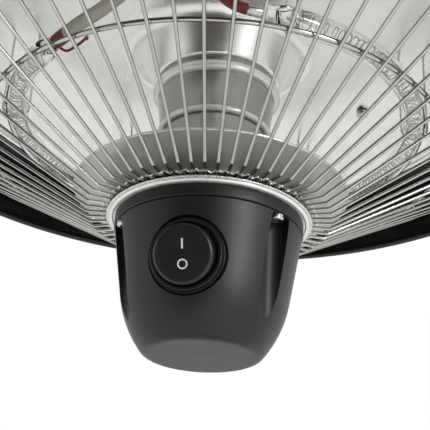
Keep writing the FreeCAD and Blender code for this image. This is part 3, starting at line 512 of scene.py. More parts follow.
def tubeAlong(tree, curve, radius, sides):
    section = addNode(tree, "GeometryNodeCurvePrimitiveCircle", {"Resolution": sides, "Radius": radius})
    return addNode(tree, "GeometryNodeCurveToMesh", {
        "Fill Caps": True, "Curve": curve, "Profile Curve": section})


def aboutZ(tree, turn):
    euler = addNode(tree, "ShaderNodeCombineXYZ", {"Z": turn})
    return addNode(tree, "FunctionNodeEulerToRotation", {"Euler": euler})


def placeAt(tree, turn, radius, height):   # the place at a turn from the front
    sine = addNode(tree, "ShaderNodeMath", {"operation": "SINE", 0: turn})
    cosine = addNode(tree, "ShaderNodeMath", {"operation": "COSINE", 0: turn})
    x = addNode(tree, "ShaderNodeMath", {"operation": "MULTIPLY", 0: sine, 1: radius})
    back = addNode(tree, "ShaderNodeMath", {"operation": "MULTIPLY", 0: cosine, 1: radius})
    y = addNode(tree, "ShaderNodeMath", {"operation": "MULTIPLY", 0: back, 1: -1.0})
    return addNode(tree, "ShaderNodeCombineXYZ", {"X": x, "Y": y, "Z": height})


def pathMesh(name, points, rounds):   # a path to run wire along, with the round of each of its corners
    mesh = bpy.data.meshes.new(name)
    mesh.from_pydata(points, [(i, i + 1) for i in range(len(points) - 1)], [])
    mesh.attributes.new("round", "FLOAT", "POINT").data.foreach_set("value", rounds)
    return mesh


def wireTree():   # a bent round wire, repeated about Z
    tree, given = newTree("bentWire", {
        "Int": "Count, Sides, Bend Steps", "Float": "First Turn, Turn Step, Wire Radius",
        "Material": "Finish"})
    path = addNode(tree, "GeometryNodeMeshToCurve", {"Mesh": given["Geometry"]})
    rounds = addNode(tree, "GeometryNodeInputNamedAttribute", {
        "data_type": "FLOAT", "Name": "round"}, "Attribute")
    bent = addNode(tree, "GeometryNodeFilletCurve", {
        "mode": "POLY", "Limit Radius": True, "Curve": path, "Count": given["Bend Steps"], "Radius": rounds})
    tube = tubeAlong(tree, bent, given["Wire Radius"], given["Sides"])
    spots = addNode(tree, "GeometryNodePoints", {"Count": given["Count"]})
    index = addNode(tree, "GeometryNodeInputIndex")
    turn = addNode(tree, "ShaderNodeMath", {
        "operation": "MULTIPLY_ADD", 0: index, 1: given["Turn Step"], 2: given["First Turn"]})
    copies = addNode(tree, "GeometryNodeInstanceOnPoints", {
        "Points": spots, "Instance": tube, "Rotation": aboutZ(tree, turn)})
    return endTree(tree, copies, given["Finish"])


# Shares of a nugget's own size
nuggetShape = {"lump": 1.6, "low": 0.7, "high": 1.3, "smallest": (0.75, 0.75, 0.75),
               "largest": (1.25, 1.3, 1.2)}


def nuggetTree():   # lumps of weld set out on a circle about Z, each a little different
    s = nuggetShape
    tree, given = newTree("weldNuggets", {"Int": "Count, Seed", "Float": "First Turn, Circle Radius, Height",
                                          "Vector": "Size", "Material": "Finish"})
    ball = addNode(tree, "GeometryNodeMeshIcoSphere", {"Radius": 1.0, "Subdivisions": 2})
    place = addNode(tree, "GeometryNodeInputPosition")
    lumps = addNode(tree, "ShaderNodeTexNoise", {"Scale": s["lump"], "Detail": 2.0, "Vector": place}, "Fac")
    swell = addNode(tree, "ShaderNodeMapRange", {"To Min": s["low"], "To Max": s["high"], "Value": lumps})
    grown = addNode(tree, "ShaderNodeVectorMath", {"operation": "SCALE", "Vector": place, "Scale": swell})
    lumpy = addNode(tree, "GeometryNodeSetPosition", {"Geometry": ball, "Position": grown})
    sized = addNode(tree, "GeometryNodeTransform", {"Geometry": lumpy, "Scale": given["Size"]})
    spots = addNode(tree, "GeometryNodePoints", {"Count": given["Count"]})
    index = addNode(tree, "GeometryNodeInputIndex")
    share = addNode(tree, "ShaderNodeMath", {"operation": "DIVIDE", 0: index, 1: given["Count"]})
    turn = addNode(tree, "ShaderNodeMath", {
        "operation": "MULTIPLY_ADD", 0: share, 1: 2 * math.pi, 2: given["First Turn"]})
    laid = addNode(tree, "GeometryNodeSetPosition", {
        "Geometry": spots, "Position": placeAt(tree, turn, given["Circle Radius"], given["Height"])})
    vary = addNode(tree, "FunctionNodeRandomValue", {
        "data_type": "FLOAT_VECTOR", 0: s["smallest"], 1: s["largest"], "Seed": given["Seed"]})
    copies = addNode(tree, "GeometryNodeInstanceOnPoints", {
        "Points": laid, "Instance": sized, "Rotation": aboutZ(tree, turn), "Scale": vary})
    return endTree(tree, copies, given["Finish"])


def screwTree():   # cross-head pan screws: one on each point, facing the way the point says
    tree, given = newTree("crossHeadScrews", {
        "Float": "Head Radius, Head Height, Edge Round, Slot Length, Slot Width, Slot Depth", "Int": "Seed",
        "Material": "Finish"})
    high, edge = given["Head Height"], given["Edge Round"]
    drum = addNode(tree, "GeometryNodeMeshCylinder", {
        "Vertices": 40, "Side Segments": 12, "Radius": given["Head Radius"], "Depth": high})
    half = addNode(tree, "ShaderNodeMath", {"operation": "MULTIPLY", 0: high, 1: 0.5})
    lift = addNode(tree, "ShaderNodeCombineXYZ", {"Z": half})
    stood = addNode(tree, "GeometryNodeTransform", {"Geometry": drum, "Translation": lift})
    place = addNode(tree, "GeometryNodeInputPosition")
    z = addNode(tree, "ShaderNodeSeparateXYZ", {"Vector": place}, "Z")
    shoulder = addNode(tree, "ShaderNodeMath", {"operation": "SUBTRACT", 0: high, 1: edge})
    above = addNode(tree, "ShaderNodeMath", {"operation": "SUBTRACT", 0: z, 1: shoulder})
    share = addNode(tree, "ShaderNodeMath", {   # the way up the rounded edge
        "operation": "DIVIDE", "use_clamp": True, 0: above, 1: edge})
    square = addNode(tree, "ShaderNodeMath", {"operation": "MULTIPLY", 0: share, 1: share})
    rest = addNode(tree, "ShaderNodeMath", {"operation": "SUBTRACT", 0: 1.0, 1: square})
    arc = addNode(tree, "ShaderNodeMath", {"operation": "SQRT", 0: rest})
    short = addNode(tree, "ShaderNodeMath", {"operation": "SUBTRACT", 0: 1.0, 1: arc})
    edgeShare = addNode(tree, "ShaderNodeMath", {"operation": "DIVIDE", 0: edge, 1: given["Head Radius"]})
    inset = addNode(tree, "ShaderNodeMath", {"operation": "MULTIPLY", 0: short, 1: edgeShare})
    width = addNode(tree, "ShaderNodeMath", {"operation": "SUBTRACT", 0: 1.0, 1: inset})
    scale = addNode(tree, "ShaderNodeCombineXYZ", {"X": width, "Y": width, "Z": 1.0})
    pulled = addNode(tree, "ShaderNodeVectorMath", {"operation": "MULTIPLY", 0: place, 1: scale})
    head = addNode(tree, "GeometryNodeSetPosition", {"Geometry": stood, "Position": pulled})
    deep = addNode(tree, "ShaderNodeMath", {"operation": "MULTIPLY", 0: given["Slot Depth"], 1: 2.0})
    top = addNode(tree, "ShaderNodeCombineXYZ", {"Z": high})
    cross = addNode(tree, "GeometryNodeMeshBoolean", {"operation": "UNION"})
    for across, along in (("Slot Length", "Slot Width"), ("Slot Width", "Slot Length")):
        size = addNode(tree, "ShaderNodeCombineXYZ", {"X": given[across], "Y": given[along], "Z": deep})
        bar = addNode(tree, "GeometryNodeMeshCube", {"Size": size})
        slot = addNode(tree, "GeometryNodeTransform", {"Geometry": bar, "Translation": top})
        tree.links.new(slot, cross.node.inputs["Mesh 2"])
    cut = addNode(tree, "GeometryNodeMeshBoolean", {
        "operation": "DIFFERENCE", "Mesh 1": head, "Mesh 2": cross})
    facing = addNode(tree, "GeometryNodeInputNamedAttribute", {
        "data_type": "FLOAT_VECTOR", "Name": "facing"}, "Attribute")
    aimed = addNode(tree, "FunctionNodeAlignRotationToVector", {"axis": "Z", "Vector": facing})
    twist = addNode(tree, "FunctionNodeRandomValue", {
        "data_type": "FLOAT", 2: 0.0, 3: math.pi / 2, "Seed": given["Seed"]}, 1)
    driven = addNode(tree, "FunctionNodeRotateRotation", {
        "rotation_space": "LOCAL", "Rotation": aimed, "Rotate By": aboutZ(tree, twist)})
    copies = addNode(tree, "GeometryNodeInstanceOnPoints", {
        "Points": given["Geometry"], "Instance": cut, "Rotation": driven})
    return endTree(tree, copies, given["Finish"])


bentWire, weldNuggets, crossHeadScrews = wireTree(), nuggetTree(), screwTree()
print("node trees made")

# Heights that the frame gives
hubPlane, lampPlane = midHeight("guard_base_ring"), midHeight("lamp_tube")
collarLow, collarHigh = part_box("switch_collar")[0].z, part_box("switch_collar")[1].z
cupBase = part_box("switch_cup")[0].z
rimLow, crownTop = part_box("hood")[0].z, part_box("hood")[1].z
bailPin = Vector(frame["joints"][0]["pos_m"])

# Hood: one drawn shell with a rolled rim
hoodShape = {"radius": 212.5, "shoulder": 55.0, "crownRadius": 68.0, "shoulderRound": 30.0,
             "crownRound": 30.0, "curl": 2.0, "sheet": 1.0, "bore": 4.3, "run": 9.0}


def makeHood():
    s = inMetres(hoodShape)
    low = rimLow + s["curl"]
    corners = [(s["radius"], low, 0), (s["radius"], rimLow + s["shoulder"], s["shoulderRound"]),
               (s["crownRadius"], crownTop, s["crownRound"]), (s["bore"], crownTop, 0)]
    shell = spinSheet("hoodShell", divide(roundOff(corners, step=3), s["run"]), s["sheet"], segments=256)
    roll = spin("hoodRoll", ringOutline(s["radius"] - s["curl"], low, s["curl"], steps=20), segments=256)
    dress(shade(joined("hoodShell", [shell, roll])), "black_enamel", "heater", "hood")


makeHood()

# Reflector, stem and shield: spun and turned sheets under the hood
reflectorShape = {"radius": 150.0, "rim": 86.0, "kneeRadius": 118.0, "knee": 99.0, "neckRadius": 48.0,
                  "neck": 107.0, "throatRadius": 34.4, "flange": 81.9, "bore": 24.0, "kneeRound": 40.0,
                  "neckRound": 14.0, "throatRound": 2.5, "sheet": 0.8, "edge": 1.4, "run": 6.0}
hubShape = {"radius": 52.0, "lip": 1.3, "sheet": 1.5, "bore": 4.3, "bead": 52.5, "beadWide": 1.0,
            "beadHigh": 0.6, "beadRise": 0.3, "teeth": 55.6, "toothRise": 0.7}
hub = hubPlane + hubShape["sheet"] / 2 * mm   # the hub plate's upper face, which these heights count from


def makeReflector():
    s = inMetres(reflectorShape)
    corners = [(s["radius"], hub + s["rim"], 0), (s["kneeRadius"], hub + s["knee"], s["kneeRound"]),
               (s["neckRadius"], hub + s["neck"], s["neckRound"]),
               (s["throatRadius"], hub + s["flange"], s["throatRound"]), (s["bore"], hub + s["flange"], 0)]
    points = divide(roundOff(corners, step=3), s["run"])
    sheet = spinSheet("reflectorDish", points[::-1], s["sheet"], segments=256)
    edge = spin("reflectorEdge", ringOutline(s["radius"], hub + s["rim"], s["edge"]), segments=256)
    dress(shade(joined("reflectorDish", [sheet, edge])), "reflector_aluminium", "heater", "reflector")


makeReflector()

stemShape = {"topRadius": 33.0, "beadRadius": 35.2, "bead": 2.9, "beadDrop": 5.6, "top": 81.8,
             "endRadius": 30.8, "endRoll": 1.7, "end": 52.0, "lowerRadius": 28.0, "sheet": 0.8, "bore": 4.3}
shieldShape = {"radius": 72.0, "height": 14.3, "sheet": 0.8, "edge": 0.7, "bore": 4.3}


def makeStem():
    s = inMetres(stemShape)
    top, low = hub + s["top"], hub + s["end"]
    beadRing, endRing = s["beadRadius"] - s["bead"], s["endRadius"] - s["endRoll"]
    bead = spin("stemBead", ringOutline(beadRing, top - s["beadDrop"], s["bead"], steps=24))
    end = spin("stemEnd", ringOutline(endRing, low, s["endRoll"]))
    wall = spinSheet("stemWall", outline((endRing + s["sheet"] / 2, low), (s["topRadius"], top)), s["sheet"])
    flange = spinSheet("stemFlange", outline((beadRing, top), (s["bore"], top)), s["sheet"])
    dress(shade(joined("upperStemTube", [wall, flange])), "stem_aluminium", "heater", "upper_stem")
    # the beads wear the paler copy of the aluminium: a painted highlight
    dress(shade(joined("stemBeads", [bead, end])), "stem_aluminium", "heater", finish=paintedHighlightFinish)
    seat = hub + (shieldShape["height"] + shieldShape["sheet"] / 2) * mm
    sides = outline((s["lowerRadius"], seat), (s["lowerRadius"], top - s["sheet"]))
    lower = spinSheet("lowerStemTube", sides, s["sheet"])
    dress(shade(lower), "stem_aluminium", "heater", "lower_stem")


makeStem()


def makeShield():
    s = inMetres(shieldShape)
    z = hub + s["height"]
    thin = s["sheet"] / 2
    ring = s["radius"] - s["edge"]
    plate = spin("shieldPlate", barOutline(s["bore"], ring, z - thin, z + thin))
    edge = spin("shieldEdge", ringOutline(ring, z, s["edge"]))
    dress(shade(joined("heatShieldDisc", [plate, edge])), "shield_steel", "heater", "heat_shield")


makeShield()
print("hood, reflector and stem made")

# Guard: sixty-four bent wires, a hoop and an outer ring behind them, welded to the hub
guardShape = {"count": 64, "first": 4.2, "wire": 1.8, "innerEnd": 46.0, "bendRadius": 63.8, "bendRound": 3.0,
              "outerEnd": 207.5, "reachIn": 15.4, "hoopRadius": 122.6, "hoopWire": 2.4, "outerRadius": 205.0,
              "outerWire": 4.0, "hoopWeld": (1.15, 1.2, 0.6), "tooth": (1.05, 1.5, 0.95)}


def makeWelds(name, radius, height, size, seed, finish):   # a lump on each wire where it meets a ring
    welds = grow(name, weldNuggets, {
        "Count": guardShape["count"], "First Turn": math.radians(guardShape["first"]),
        "Circle Radius": radius, "Height": height, "Size": Vector(size) * mm, "Seed": seed, "Finish": finish})
    dress(welds, "guard_chrome", "heater", finish=finish)


def makeGuard():
    s = guardShape
    half = s["wire"] * mm / 2
    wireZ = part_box("guard_wires")[0].z + half
    endZ = rimLow + s["reachIn"] * mm
    path = [around(s[key] * mm, s["first"], z)
            for key, z in (("innerEnd", wireZ), ("bendRadius", wireZ), ("outerEnd", endZ))]
    wires = grow("guardWires", bentWire, {
        "Count": s["count"], "First Turn": 0.0, "Turn Step": 2 * math.pi / s["count"], "Wire Radius": half,
        "Sides": 14, "Bend Steps": 6, "Finish": finishes["guard_chrome"]},
        pathMesh("guardWires", path, [0, s["bendRound"] * mm, 0]))
    dress(wires, "guard_chrome", "heater", "guard_wires")
    for name, node, radius, size in (("guardHoop", "guard_hoop", "hoopRadius", "hoopWire"),
                                     ("guardOuterRing", "guard_outer_ring", "outerRadius", "outerWire")):
        ring = spin(name, ringOutline(s[radius] * mm, midHeight(node), s[size] * mm / 2), segments=320)
        dress(shade(ring), "guard_chrome", "heater", node)
    slope = math.atan2(endZ - wireZ, (s["outerEnd"] - s["bendRadius"]) * mm)
    touch = s["hoopWire"] / 2 * mm
    makeWelds("hoopWelds", s["hoopRadius"] * mm + touch * math.sin(slope),
              midHeight("guard_hoop") - touch * math.cos(slope), s["hoopWeld"], seed=4,
              finish=finishes["guard_chrome"])


makeGuard()


def makeHub():
    s = inMetres(hubShape)
    ring = s["radius"] - s["lip"]
    thin = s["sheet"] / 2
    plate = spin("hubPlate", barOutline(s["bore"], ring, hubPlane - thin, hubPlane + thin))
    lip = spin("hubLip", ringOutline(ring, hubPlane, s["lip"], steps=24), segments=256)
    whole = shade(joined("hubRing", [plate, lip]))
    # the lip wears the paler copy of the metal: a painted highlight
    dress(whole, "guard_chrome", "heater", "guard_base_ring", finish=paintedHighlightFinish)
    makeWeldBand()
    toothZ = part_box("guard_wires")[0].z + s["toothRise"]
    makeWelds("hubWelds", s["teeth"], toothZ, guardShape["tooth"], seed=11, finish=weldFinish)
    bead = ringOutline(s["bead"], hubPlane + s["beadRise"], s["beadWide"], steps=24, rise=s["beadHigh"])
    dress(shade(spin("hubWeldBead", bead, segments=320)), "guard_chrome", "heater", finish=weldFinish)


# The ring over the wire ends; sway keeps any two of its scallops from being alike
bandShape = {"rows": (20.0, 34.0, 42.0, 46.0, 48.0, 50.0, 51.0, 52.0), "calm": 42.0, "over": 12.0,
             "perWire": 10, "scallop": 0.7, "scallopSway": 0.5, "crinkle": 0.45, "crinkleSway": 0.8,
             "sway": (0.37, 1.3, 0.11)}


def makeWeldBand():   # it dips onto each wire and its edge runs in scallops
    s = bandShape
    quick, shift, slow = s["sway"]
    count, first = guardShape["count"], guardShape["first"]
    segments = count * s["perWire"]
    bm = bmesh.new()
    sides = []
    for lift in (corner.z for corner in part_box("guard_weld_ring")):
        rows = []
        for r in s["rows"]:
            reach = max(0.0, min(1.0, (r - s["calm"]) / s["over"]))
            row = []
            for i in range(segments):
                phase = count * math.radians(360 * i / segments - first)
                sway = math.sin(phase * quick + shift) * math.sin(phase * slow)
                edge = s["scallop"] * reach * (math.cos(phase) + s["scallopSway"] * sway)
                dip = s["crinkle"] * reach * (math.cos(phase) + s["crinkleSway"] * sway)
                row.append(bm.verts.new(around((r + edge) * mm, 360 * i / segments, lift + dip * mm)))
            rows.append(row)
        sides.append(rows)
    skin(bm, sides[0] + sides[1][::-1], True)
    band = shade(newPiece("weldBand", meshFrom("weldBand", bm)), angle=50)
    dress(band, "guard_chrome", "heater", "guard_weld_ring", finish=weldFinish)


makeHub()
print("guard made")

# Lamp: quartz ring with pinched ends, an uneven coil inside, wire clips that hang it from the reflector.
# The square powers make the pinched section boxy, and the dome's shares close the bore's ends
lampShape = {"ring": 106.8, "tube": 11.5, "wall": 1.2, "start": 28.7, "sweep": 292.8, "steps": 180,
             "sides": 28, "pinchThick": 3.4, "pinchHigh": 11.0, "squareX": 0.5, "squareZ": 0.6,
             "pinchPast": (10.5, 10.1, 8.0, 6.0, 4.5, 3.0, 2.0, 1.0), "flatFrom": 4.0, "pinchOver": 4.5,
             "tip": 0.85, "boreInset": 0.4, "dome": (0.05, 0.5, 0.8, 0.95)}


def lampStations():   # (azimuth, distance past the end, share of the way from round to pinched)
    s = lampShape
    pinched = [(d, 1.0 if d > s["flatFrom"] else d / s["pinchOver"]) for d in s["pinchPast"]]
    tube = [(s["start"] + s["sweep"] * i / s["steps"], 0.0, 0.0) for i in range(s["steps"] + 1)]
    return ([(s["start"], -d, share) for d, share in pinched] + tube
            + [(s["start"] + s["sweep"], d, share) for d, share in pinched[::-1]])


def lampSection(share, shrink):
    s = lampShape
    points = []
    for t in circle(s["sides"]):
        c, n = math.cos(t), math.sin(t)
        flatX = s["pinchThick"] / 2 * math.copysign(abs(c) ** s["squareX"], c)
        flatZ = s["pinchHigh"] / 2 * math.copysign(abs(n) ** s["squareZ"], n)
        x = (1 - share) * s["tube"] / 2 * c + share * flatX
        z = (1 - share) * s["tube"] / 2 * n + share * flatZ
        points.append((x * shrink * mm, z * shrink * mm))
    return points


def lampPoint(azimuth, along, x=0, z=0):
    return around(lampShape["ring"] * mm + x, azimuth, lampPlane + z) + tangentAt(azimuth) * along


def makeLamp():
    s = lampShape
    bm = bmesh.new()
    outer, inner = [], []
    stations = lampStations()
    for i, (azimuth, along, share) in enumerate(stations):
        ease = share * share * (3 - 2 * share)
        shrink = s["tip"] if i in (0, len(stations) - 1) else 1.0
        section = lampSection(ease, shrink)
        outer.append([bm.verts.new(lampPoint(azimuth, along * mm, x, z)) for x, z in section])
    core = s["tube"] / 2 - s["wall"]
    for i in range(s["steps"] + 1):
        near = min(i, s["steps"] - i)
        size = core * (s["dome"][near] if near < len(s["dome"]) else 1.0) * mm
        azimuth = s["start"] + s["boreInset"] + (s["sweep"] - 2 * s["boreInset"]) * i / s["steps"]
        inner.append([bm.verts.new(lampPoint(azimuth, 0, size * math.cos(t), size * math.sin(t)))
                      for t in circle(s["sides"])])
    for rows, way in ((outer, 1), (inner, -1)):   # the bore's faces look inwards
        for a, b in zip(rows, rows[1:]):
            for k in range(s["sides"]):
                n = (k + 1) % s["sides"]
                bm.faces.new((a[k], b[k], b[n], a[n])[::way])
        bm.faces.new(rows[0][::way])
        bm.faces.new(rows[-1][::-way])
    lamp = shade(newPiece("quartzRing", meshFrom("quartzRing", bm)), angle=40)
    dress(lamp, "quartz", "heater", "lamp_tube")


makeLamp()

filamentShape = {"curls": 170, "perCurl": 14, "leadIn": 1.2, "leadOut": 3.0, "coil": 3.9, "wire": 0.45,
                 "uneven": 0.9, "stretch": 1.1, "drift": 0.45, "tight": 0.72, "wide": 1.12}


def coilTree():   # a coil that follows the lamp's ring, with uneven curls
    s = filamentShape
    tree, given = newTree("unevenCoil", {"Int": "Curls, Points", "Material": "Finish", "Float": (
        "Start, Sweep, Ring Radius, Height, Coil Radius, Wire Radius, Uneven, Stretch")})
    line = addNode(tree, "GeometryNodeCurvePrimitiveLine")
    fine = addNode(tree, "GeometryNodeResampleCurve", {
        "mode": "COUNT", "Curve": line, "Count": given["Points"]})
    index = addNode(tree, "GeometryNodeInputIndex")
    share = addNode(tree, "ShaderNodeMath", {"operation": "DIVIDE", 0: index, 1: given["Points"]})
    eased = addNode(tree, "ShaderNodeMath", {"operation": "POWER", 0: share, 1: given["Stretch"]})
    curl = addNode(tree, "ShaderNodeMath", {"operation": "MULTIPLY", 0: eased, 1: given["Curls"]})
    drift = addNode(tree, "ShaderNodeTexNoise", {
        "noise_dimensions": "1D", "Scale": s["drift"], "Detail": 2.0, "W": curl}, "Fac")
    shift = addNode(tree, "ShaderNodeMapRange", {"To Min": -1.0, "To Max": 1.0, "Value": drift})
    loose = addNode(tree, "ShaderNodeMath", {
        "operation": "MULTIPLY_ADD", 0: shift, 1: given["Uneven"], 2: curl})
    phase = addNode(tree, "ShaderNodeMath", {"operation": "MULTIPLY", 0: loose, 1: 2 * math.pi})
    turn = addNode(tree, "ShaderNodeMath", {
        "operation": "MULTIPLY_ADD", 0: share, 1: given["Sweep"], 2: given["Start"]})
    size = addNode(tree, "ShaderNodeMapRange", {"To Min": s["tight"], "To Max": s["wide"], "Value": drift})
    reach = addNode(tree, "ShaderNodeMath", {"operation": "MULTIPLY", 0: size, 1: given["Coil Radius"]})
    cosine = addNode(tree, "ShaderNodeMath", {"operation": "COSINE", 0: phase})
    sine = addNode(tree, "ShaderNodeMath", {"operation": "SINE", 0: phase})
    radius = addNode(tree, "ShaderNodeMath", {
        "operation": "MULTIPLY_ADD", 0: cosine, 1: reach, 2: given["Ring Radius"]})
    height = addNode(tree, "ShaderNodeMath", {
        "operation": "MULTIPLY_ADD", 0: sine, 1: reach, 2: given["Height"]})
    place = placeAt(tree, turn, radius, height)
    wound = addNode(tree, "GeometryNodeSetPosition", {"Geometry": fine, "Position": place})
    return endTree(tree, tubeAlong(tree, wound, given["Wire Radius"], sides=6), given["Finish"])


def makeFilament():
    s = filamentShape
    coil = grow("filamentCoil", coilTree(), {
        "Curls": s["curls"], "Points": s["curls"] * s["perCurl"],
        "Start": math.radians(lampShape["start"] + s["leadIn"]),
        "Sweep": math.radians(lampShape["sweep"] - s["leadIn"] - s["leadOut"]),
        "Ring Radius": lampShape["ring"] * mm, "Height": lampPlane, "Coil Radius": s["coil"] * mm,
        "Wire Radius": s["wire"] * mm / 2, "Uneven": s["uneven"], "Stretch": s["stretch"],
        "Finish": finishes["filament_wire"]})
    dress(coil, "filament_wire", "heater", "lamp_filament")


makeFilament()

clipShape = {"count": 5, "first": 30.2, "step": 65.0, "wire": 1.2, "gap": 0.3, "foot": 9.0, "bend": 2.2}


def underside(radius):   # height of the reflector's ceiling
    s = reflectorShape
    share = (radius / mm - s["neckRadius"]) / (s["kneeRadius"] - s["neckRadius"])
    return hub + (s["neck"] + share * (s["knee"] - s["neck"])) * mm


def makeClips():
    s = clipShape
    reach = (lampShape["tube"] / 2 + s["gap"] + s["wire"] / 2) * mm
    ring = lampShape["ring"] * mm
    rise = (reflectorShape["sheet"] + 2 * s["gap"] + s["bend"]) * mm
    foot, bend = s["foot"] * mm, s["bend"] * mm
    inner, outer = ring - reach, ring + reach
    low = lampPlane - reach
    innerTop, outerTop = underside(inner) + rise, underside(outer) + rise
    path = [around(r, 0, z) for r, z in (
        (inner - foot, innerTop), (inner, innerTop), (inner, low), (outer, low), (outer, outerTop),
        (outer + foot, outerTop))]
    clips = grow("lampClips", bentWire, {
        "Count": s["count"], "First Turn": math.radians(s["first"]), "Turn Step": math.radians(s["step"]),
        "Wire Radius": s["wire"] * mm / 2, "Sides": 12, "Bend Steps": 12,
        "Finish": finishes["filament_wire"]},
        pathMesh("lampClips", path, [0, bend, reach, reach, bend, 0]))
    dress(clips, slotOf["lamp_clips"], "heater", "lamp_clips")


makeClips()
print("lamp made")

# Leads: smooth curves that have the points of the CAD routes as their control points.
# A point of a route is (radius, azimuth, level, height over that level). The end is the lamp's, 0 or 1,
# way says if the lead sets off with the lamp's turn or against it, and block is its side of the terminals
leadShapes = {
    "redLead": {
        "node": "lamp_lead_right", "slot": "red_silicone", "thick": 5.2, "end": 0.0, "way": -1, "start": 16.8,
        "block": 1, "tail": 16.0, "route": (
            (105.0, 11.5, "lamp", 13.0), (103.0, 7.0, "lamp", 24.0), (102.3, 4.0, "ceiling", -8.0),
            (102.3, 4.0, "ceiling", 10.0), (74.0, -2.0, "above", 0.0), (46.0, -30.0, "above", 18.0))},
    "greyLead": {
        "node": "lamp_lead_left", "slot": "grey_sleeve", "thick": 6.8, "end": 1.0, "way": 1, "start": 20.5,
        "block": -1, "tail": 18.0, "route": (
            (107.0, -18.0, "lamp", 7.0), (103.0, -11.0, "lamp", 20.0), (102.3, -8.0, "ceiling", -8.0),
            (102.3, -8.0, "ceiling", 10.0), (78.0, -17.0, "above", 0.0), (56.0, -38.0, "above", 16.0))}}
leadCommon = {"grommet": 102.3, "above": 24.0, "straight": 9.0, "blockGap": 0.3}
blockLow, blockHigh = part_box("terminal_block")


def curvePoints(name, points):   # points along a NURBS line that has the route as its control points
    curve = bpy.data.curves.new(name, "CURVE")
    curve.dimensions = "3D"
    curve.resolution_u = 12
    line = curve.splines.new("NURBS")
    line.points.add(len(points) - 1)
    for spot, point in zip(line.points, points):
        spot.co = (*point, 1.0)
    line.order_u = 3
    line.use_endpoint_u = True
    carrier = newPiece(name, curve)
    found = [v.co.copy() for v in plainMesh(carrier).vertices]
    bpy.data.objects.remove(carrier)
    return found


def hose(name, points, radius, sides=20):   # a round tube along points, with its own map along and around
    bm = bmesh.new()
    uv = bm.loops.layers.uv.new("along")
    rows = []
    lengths = []
    length = 0.0
    side = (points[1] - points[0]).orthogonal().normalized()
    for i, point in enumerate(points):
        ahead = (points[min(i + 1, len(points) - 1)] - points[max(i - 1, 0)]).normalized()
        side = (side - ahead * side.dot(ahead)).normalized()
        across = ahead.cross(side)
        rows.append([bm.verts.new(point + (side * math.cos(t) + across * math.sin(t)) * radius)
                     for t in circle(sides)])
        length += (point - points[i - 1]).length if i else 0.0
        lengths.append(length)
    girth = 2 * math.pi * radius / sides
    for i in range(len(rows) - 1):
        for k in range(sides):
            n = (k + 1) % sides
            face = bm.faces.new((rows[i][k], rows[i][n], rows[i + 1][n], rows[i + 1][k]))
            corners = ((k, i), (k + 1, i), (k + 1, i + 1), (k, i + 1))
            for loop, (u, v) in zip(face.loops, corners):
                loop[uv].uv = (u * girth, lengths[v])
    bm.faces.new(rows[0][::-1])
    bm.faces.new(rows[-1])
    return shade(newPiece(name, meshFrom(name, bm)), angle=50)


def blockFace(side):
    x = (blockLow.x + blockHigh.x) / 2 + side * (blockHigh.x - blockLow.x) / 4
    return Vector((x, blockLow.y - leadCommon["blockGap"] * mm, (blockLow.z + blockHigh.z) / 2))


def makeLeads():
    ceiling = underside(leadCommon["grommet"] * mm)
    levels = {"lamp": lampPlane, "ceiling": ceiling, "above": ceiling + leadCommon["above"] * mm}
    for name, s in leadShapes.items():
        end = lampShape["start"] + lampShape["sweep"] * s["end"]
        start = lampPoint(end, s["way"] * s["start"] * mm)
        face = blockFace(s["block"])
        points = [start, start + tangentAt(end) * s["way"] * leadCommon["straight"] * mm]
        points += [around(r * mm, azimuth, levels[level] + z * mm) for r, azimuth, level, z in s["route"]]
        points += [face - Vector((0, s["tail"] * mm, 0)), face]
        dress(hose(name, curvePoints(name, points), s["thick"] / 2 * mm), s["slot"], "heater", s["node"])


bootShape = {
    "radius": 3.5, "past": (10.5, 12.5, 14.5, 16.5, 18.5, 20.5), "slack": 1.4, "slackZ": 6.0, "slackPath": (
        (105.5, -36.0), (101.0, -38.3), (98.0, -38.9), (95.1, -39.0), (94.2, -37.4), (94.3, -35.4),
        (94.2, -32.6), (94.9, -30.3), (96.3, -27.9), (100.0, -25.5))}


def makeBoot():   # the red boot on the lamp's left end, and the slack wire beside it
    s = bootShape
    end = lampShape["start"] + lampShape["sweep"]
    boot = [lampPoint(end, d * mm) for d in s["past"]]
    dress(hose("redBoot", boot, s["radius"] * mm), "red_silicone", "heater")
    slack = [around(r * mm, azimuth, lampPlane + s["slackZ"] * mm) for r, azimuth in s["slackPath"]]
    slack[0].z = slack[-1].z = lampPlane
    wire = hose("slackLead", curvePoints("slackLead", slack), s["slack"] / 2 * mm, sides=12)
    dress(wire, "red_silicone", "heater")


cableShape = {"thick": 5.0, "plug": 0.5, "off": 15.0, "rise": 16.0, "leave": 43.0,
              "lean": (-14.0, 16.0, 58.0), "tail": 14.0}


def makeCable():
    s = cableShape
    low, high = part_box("switch_cable")
    middle = (blockLow + blockHigh) / 2
    flange = hub + reflectorShape["flange"] * mm
    x, y, z = s["lean"]
    cable = [Vector((0, s["plug"] * mm, low.z)), Vector((0, s["off"] * mm, low.z + s["rise"] * mm)),
             Vector((0, s["off"] * mm, flange + s["leave"] * mm)), Vector((x * mm, y * mm, flange + z * mm)),
             Vector((middle.x, middle.y, high.z - s["tail"] * mm)), Vector((middle.x, middle.y, high.z))]
    cord = hose("switchCable", curvePoints("switchCable", cable), s["thick"] / 2 * mm)
    dress(cord, "black_rubber", "heater", "switch_cable")


makeLeads()
makeBoot()
makeCable()
print("leads made")

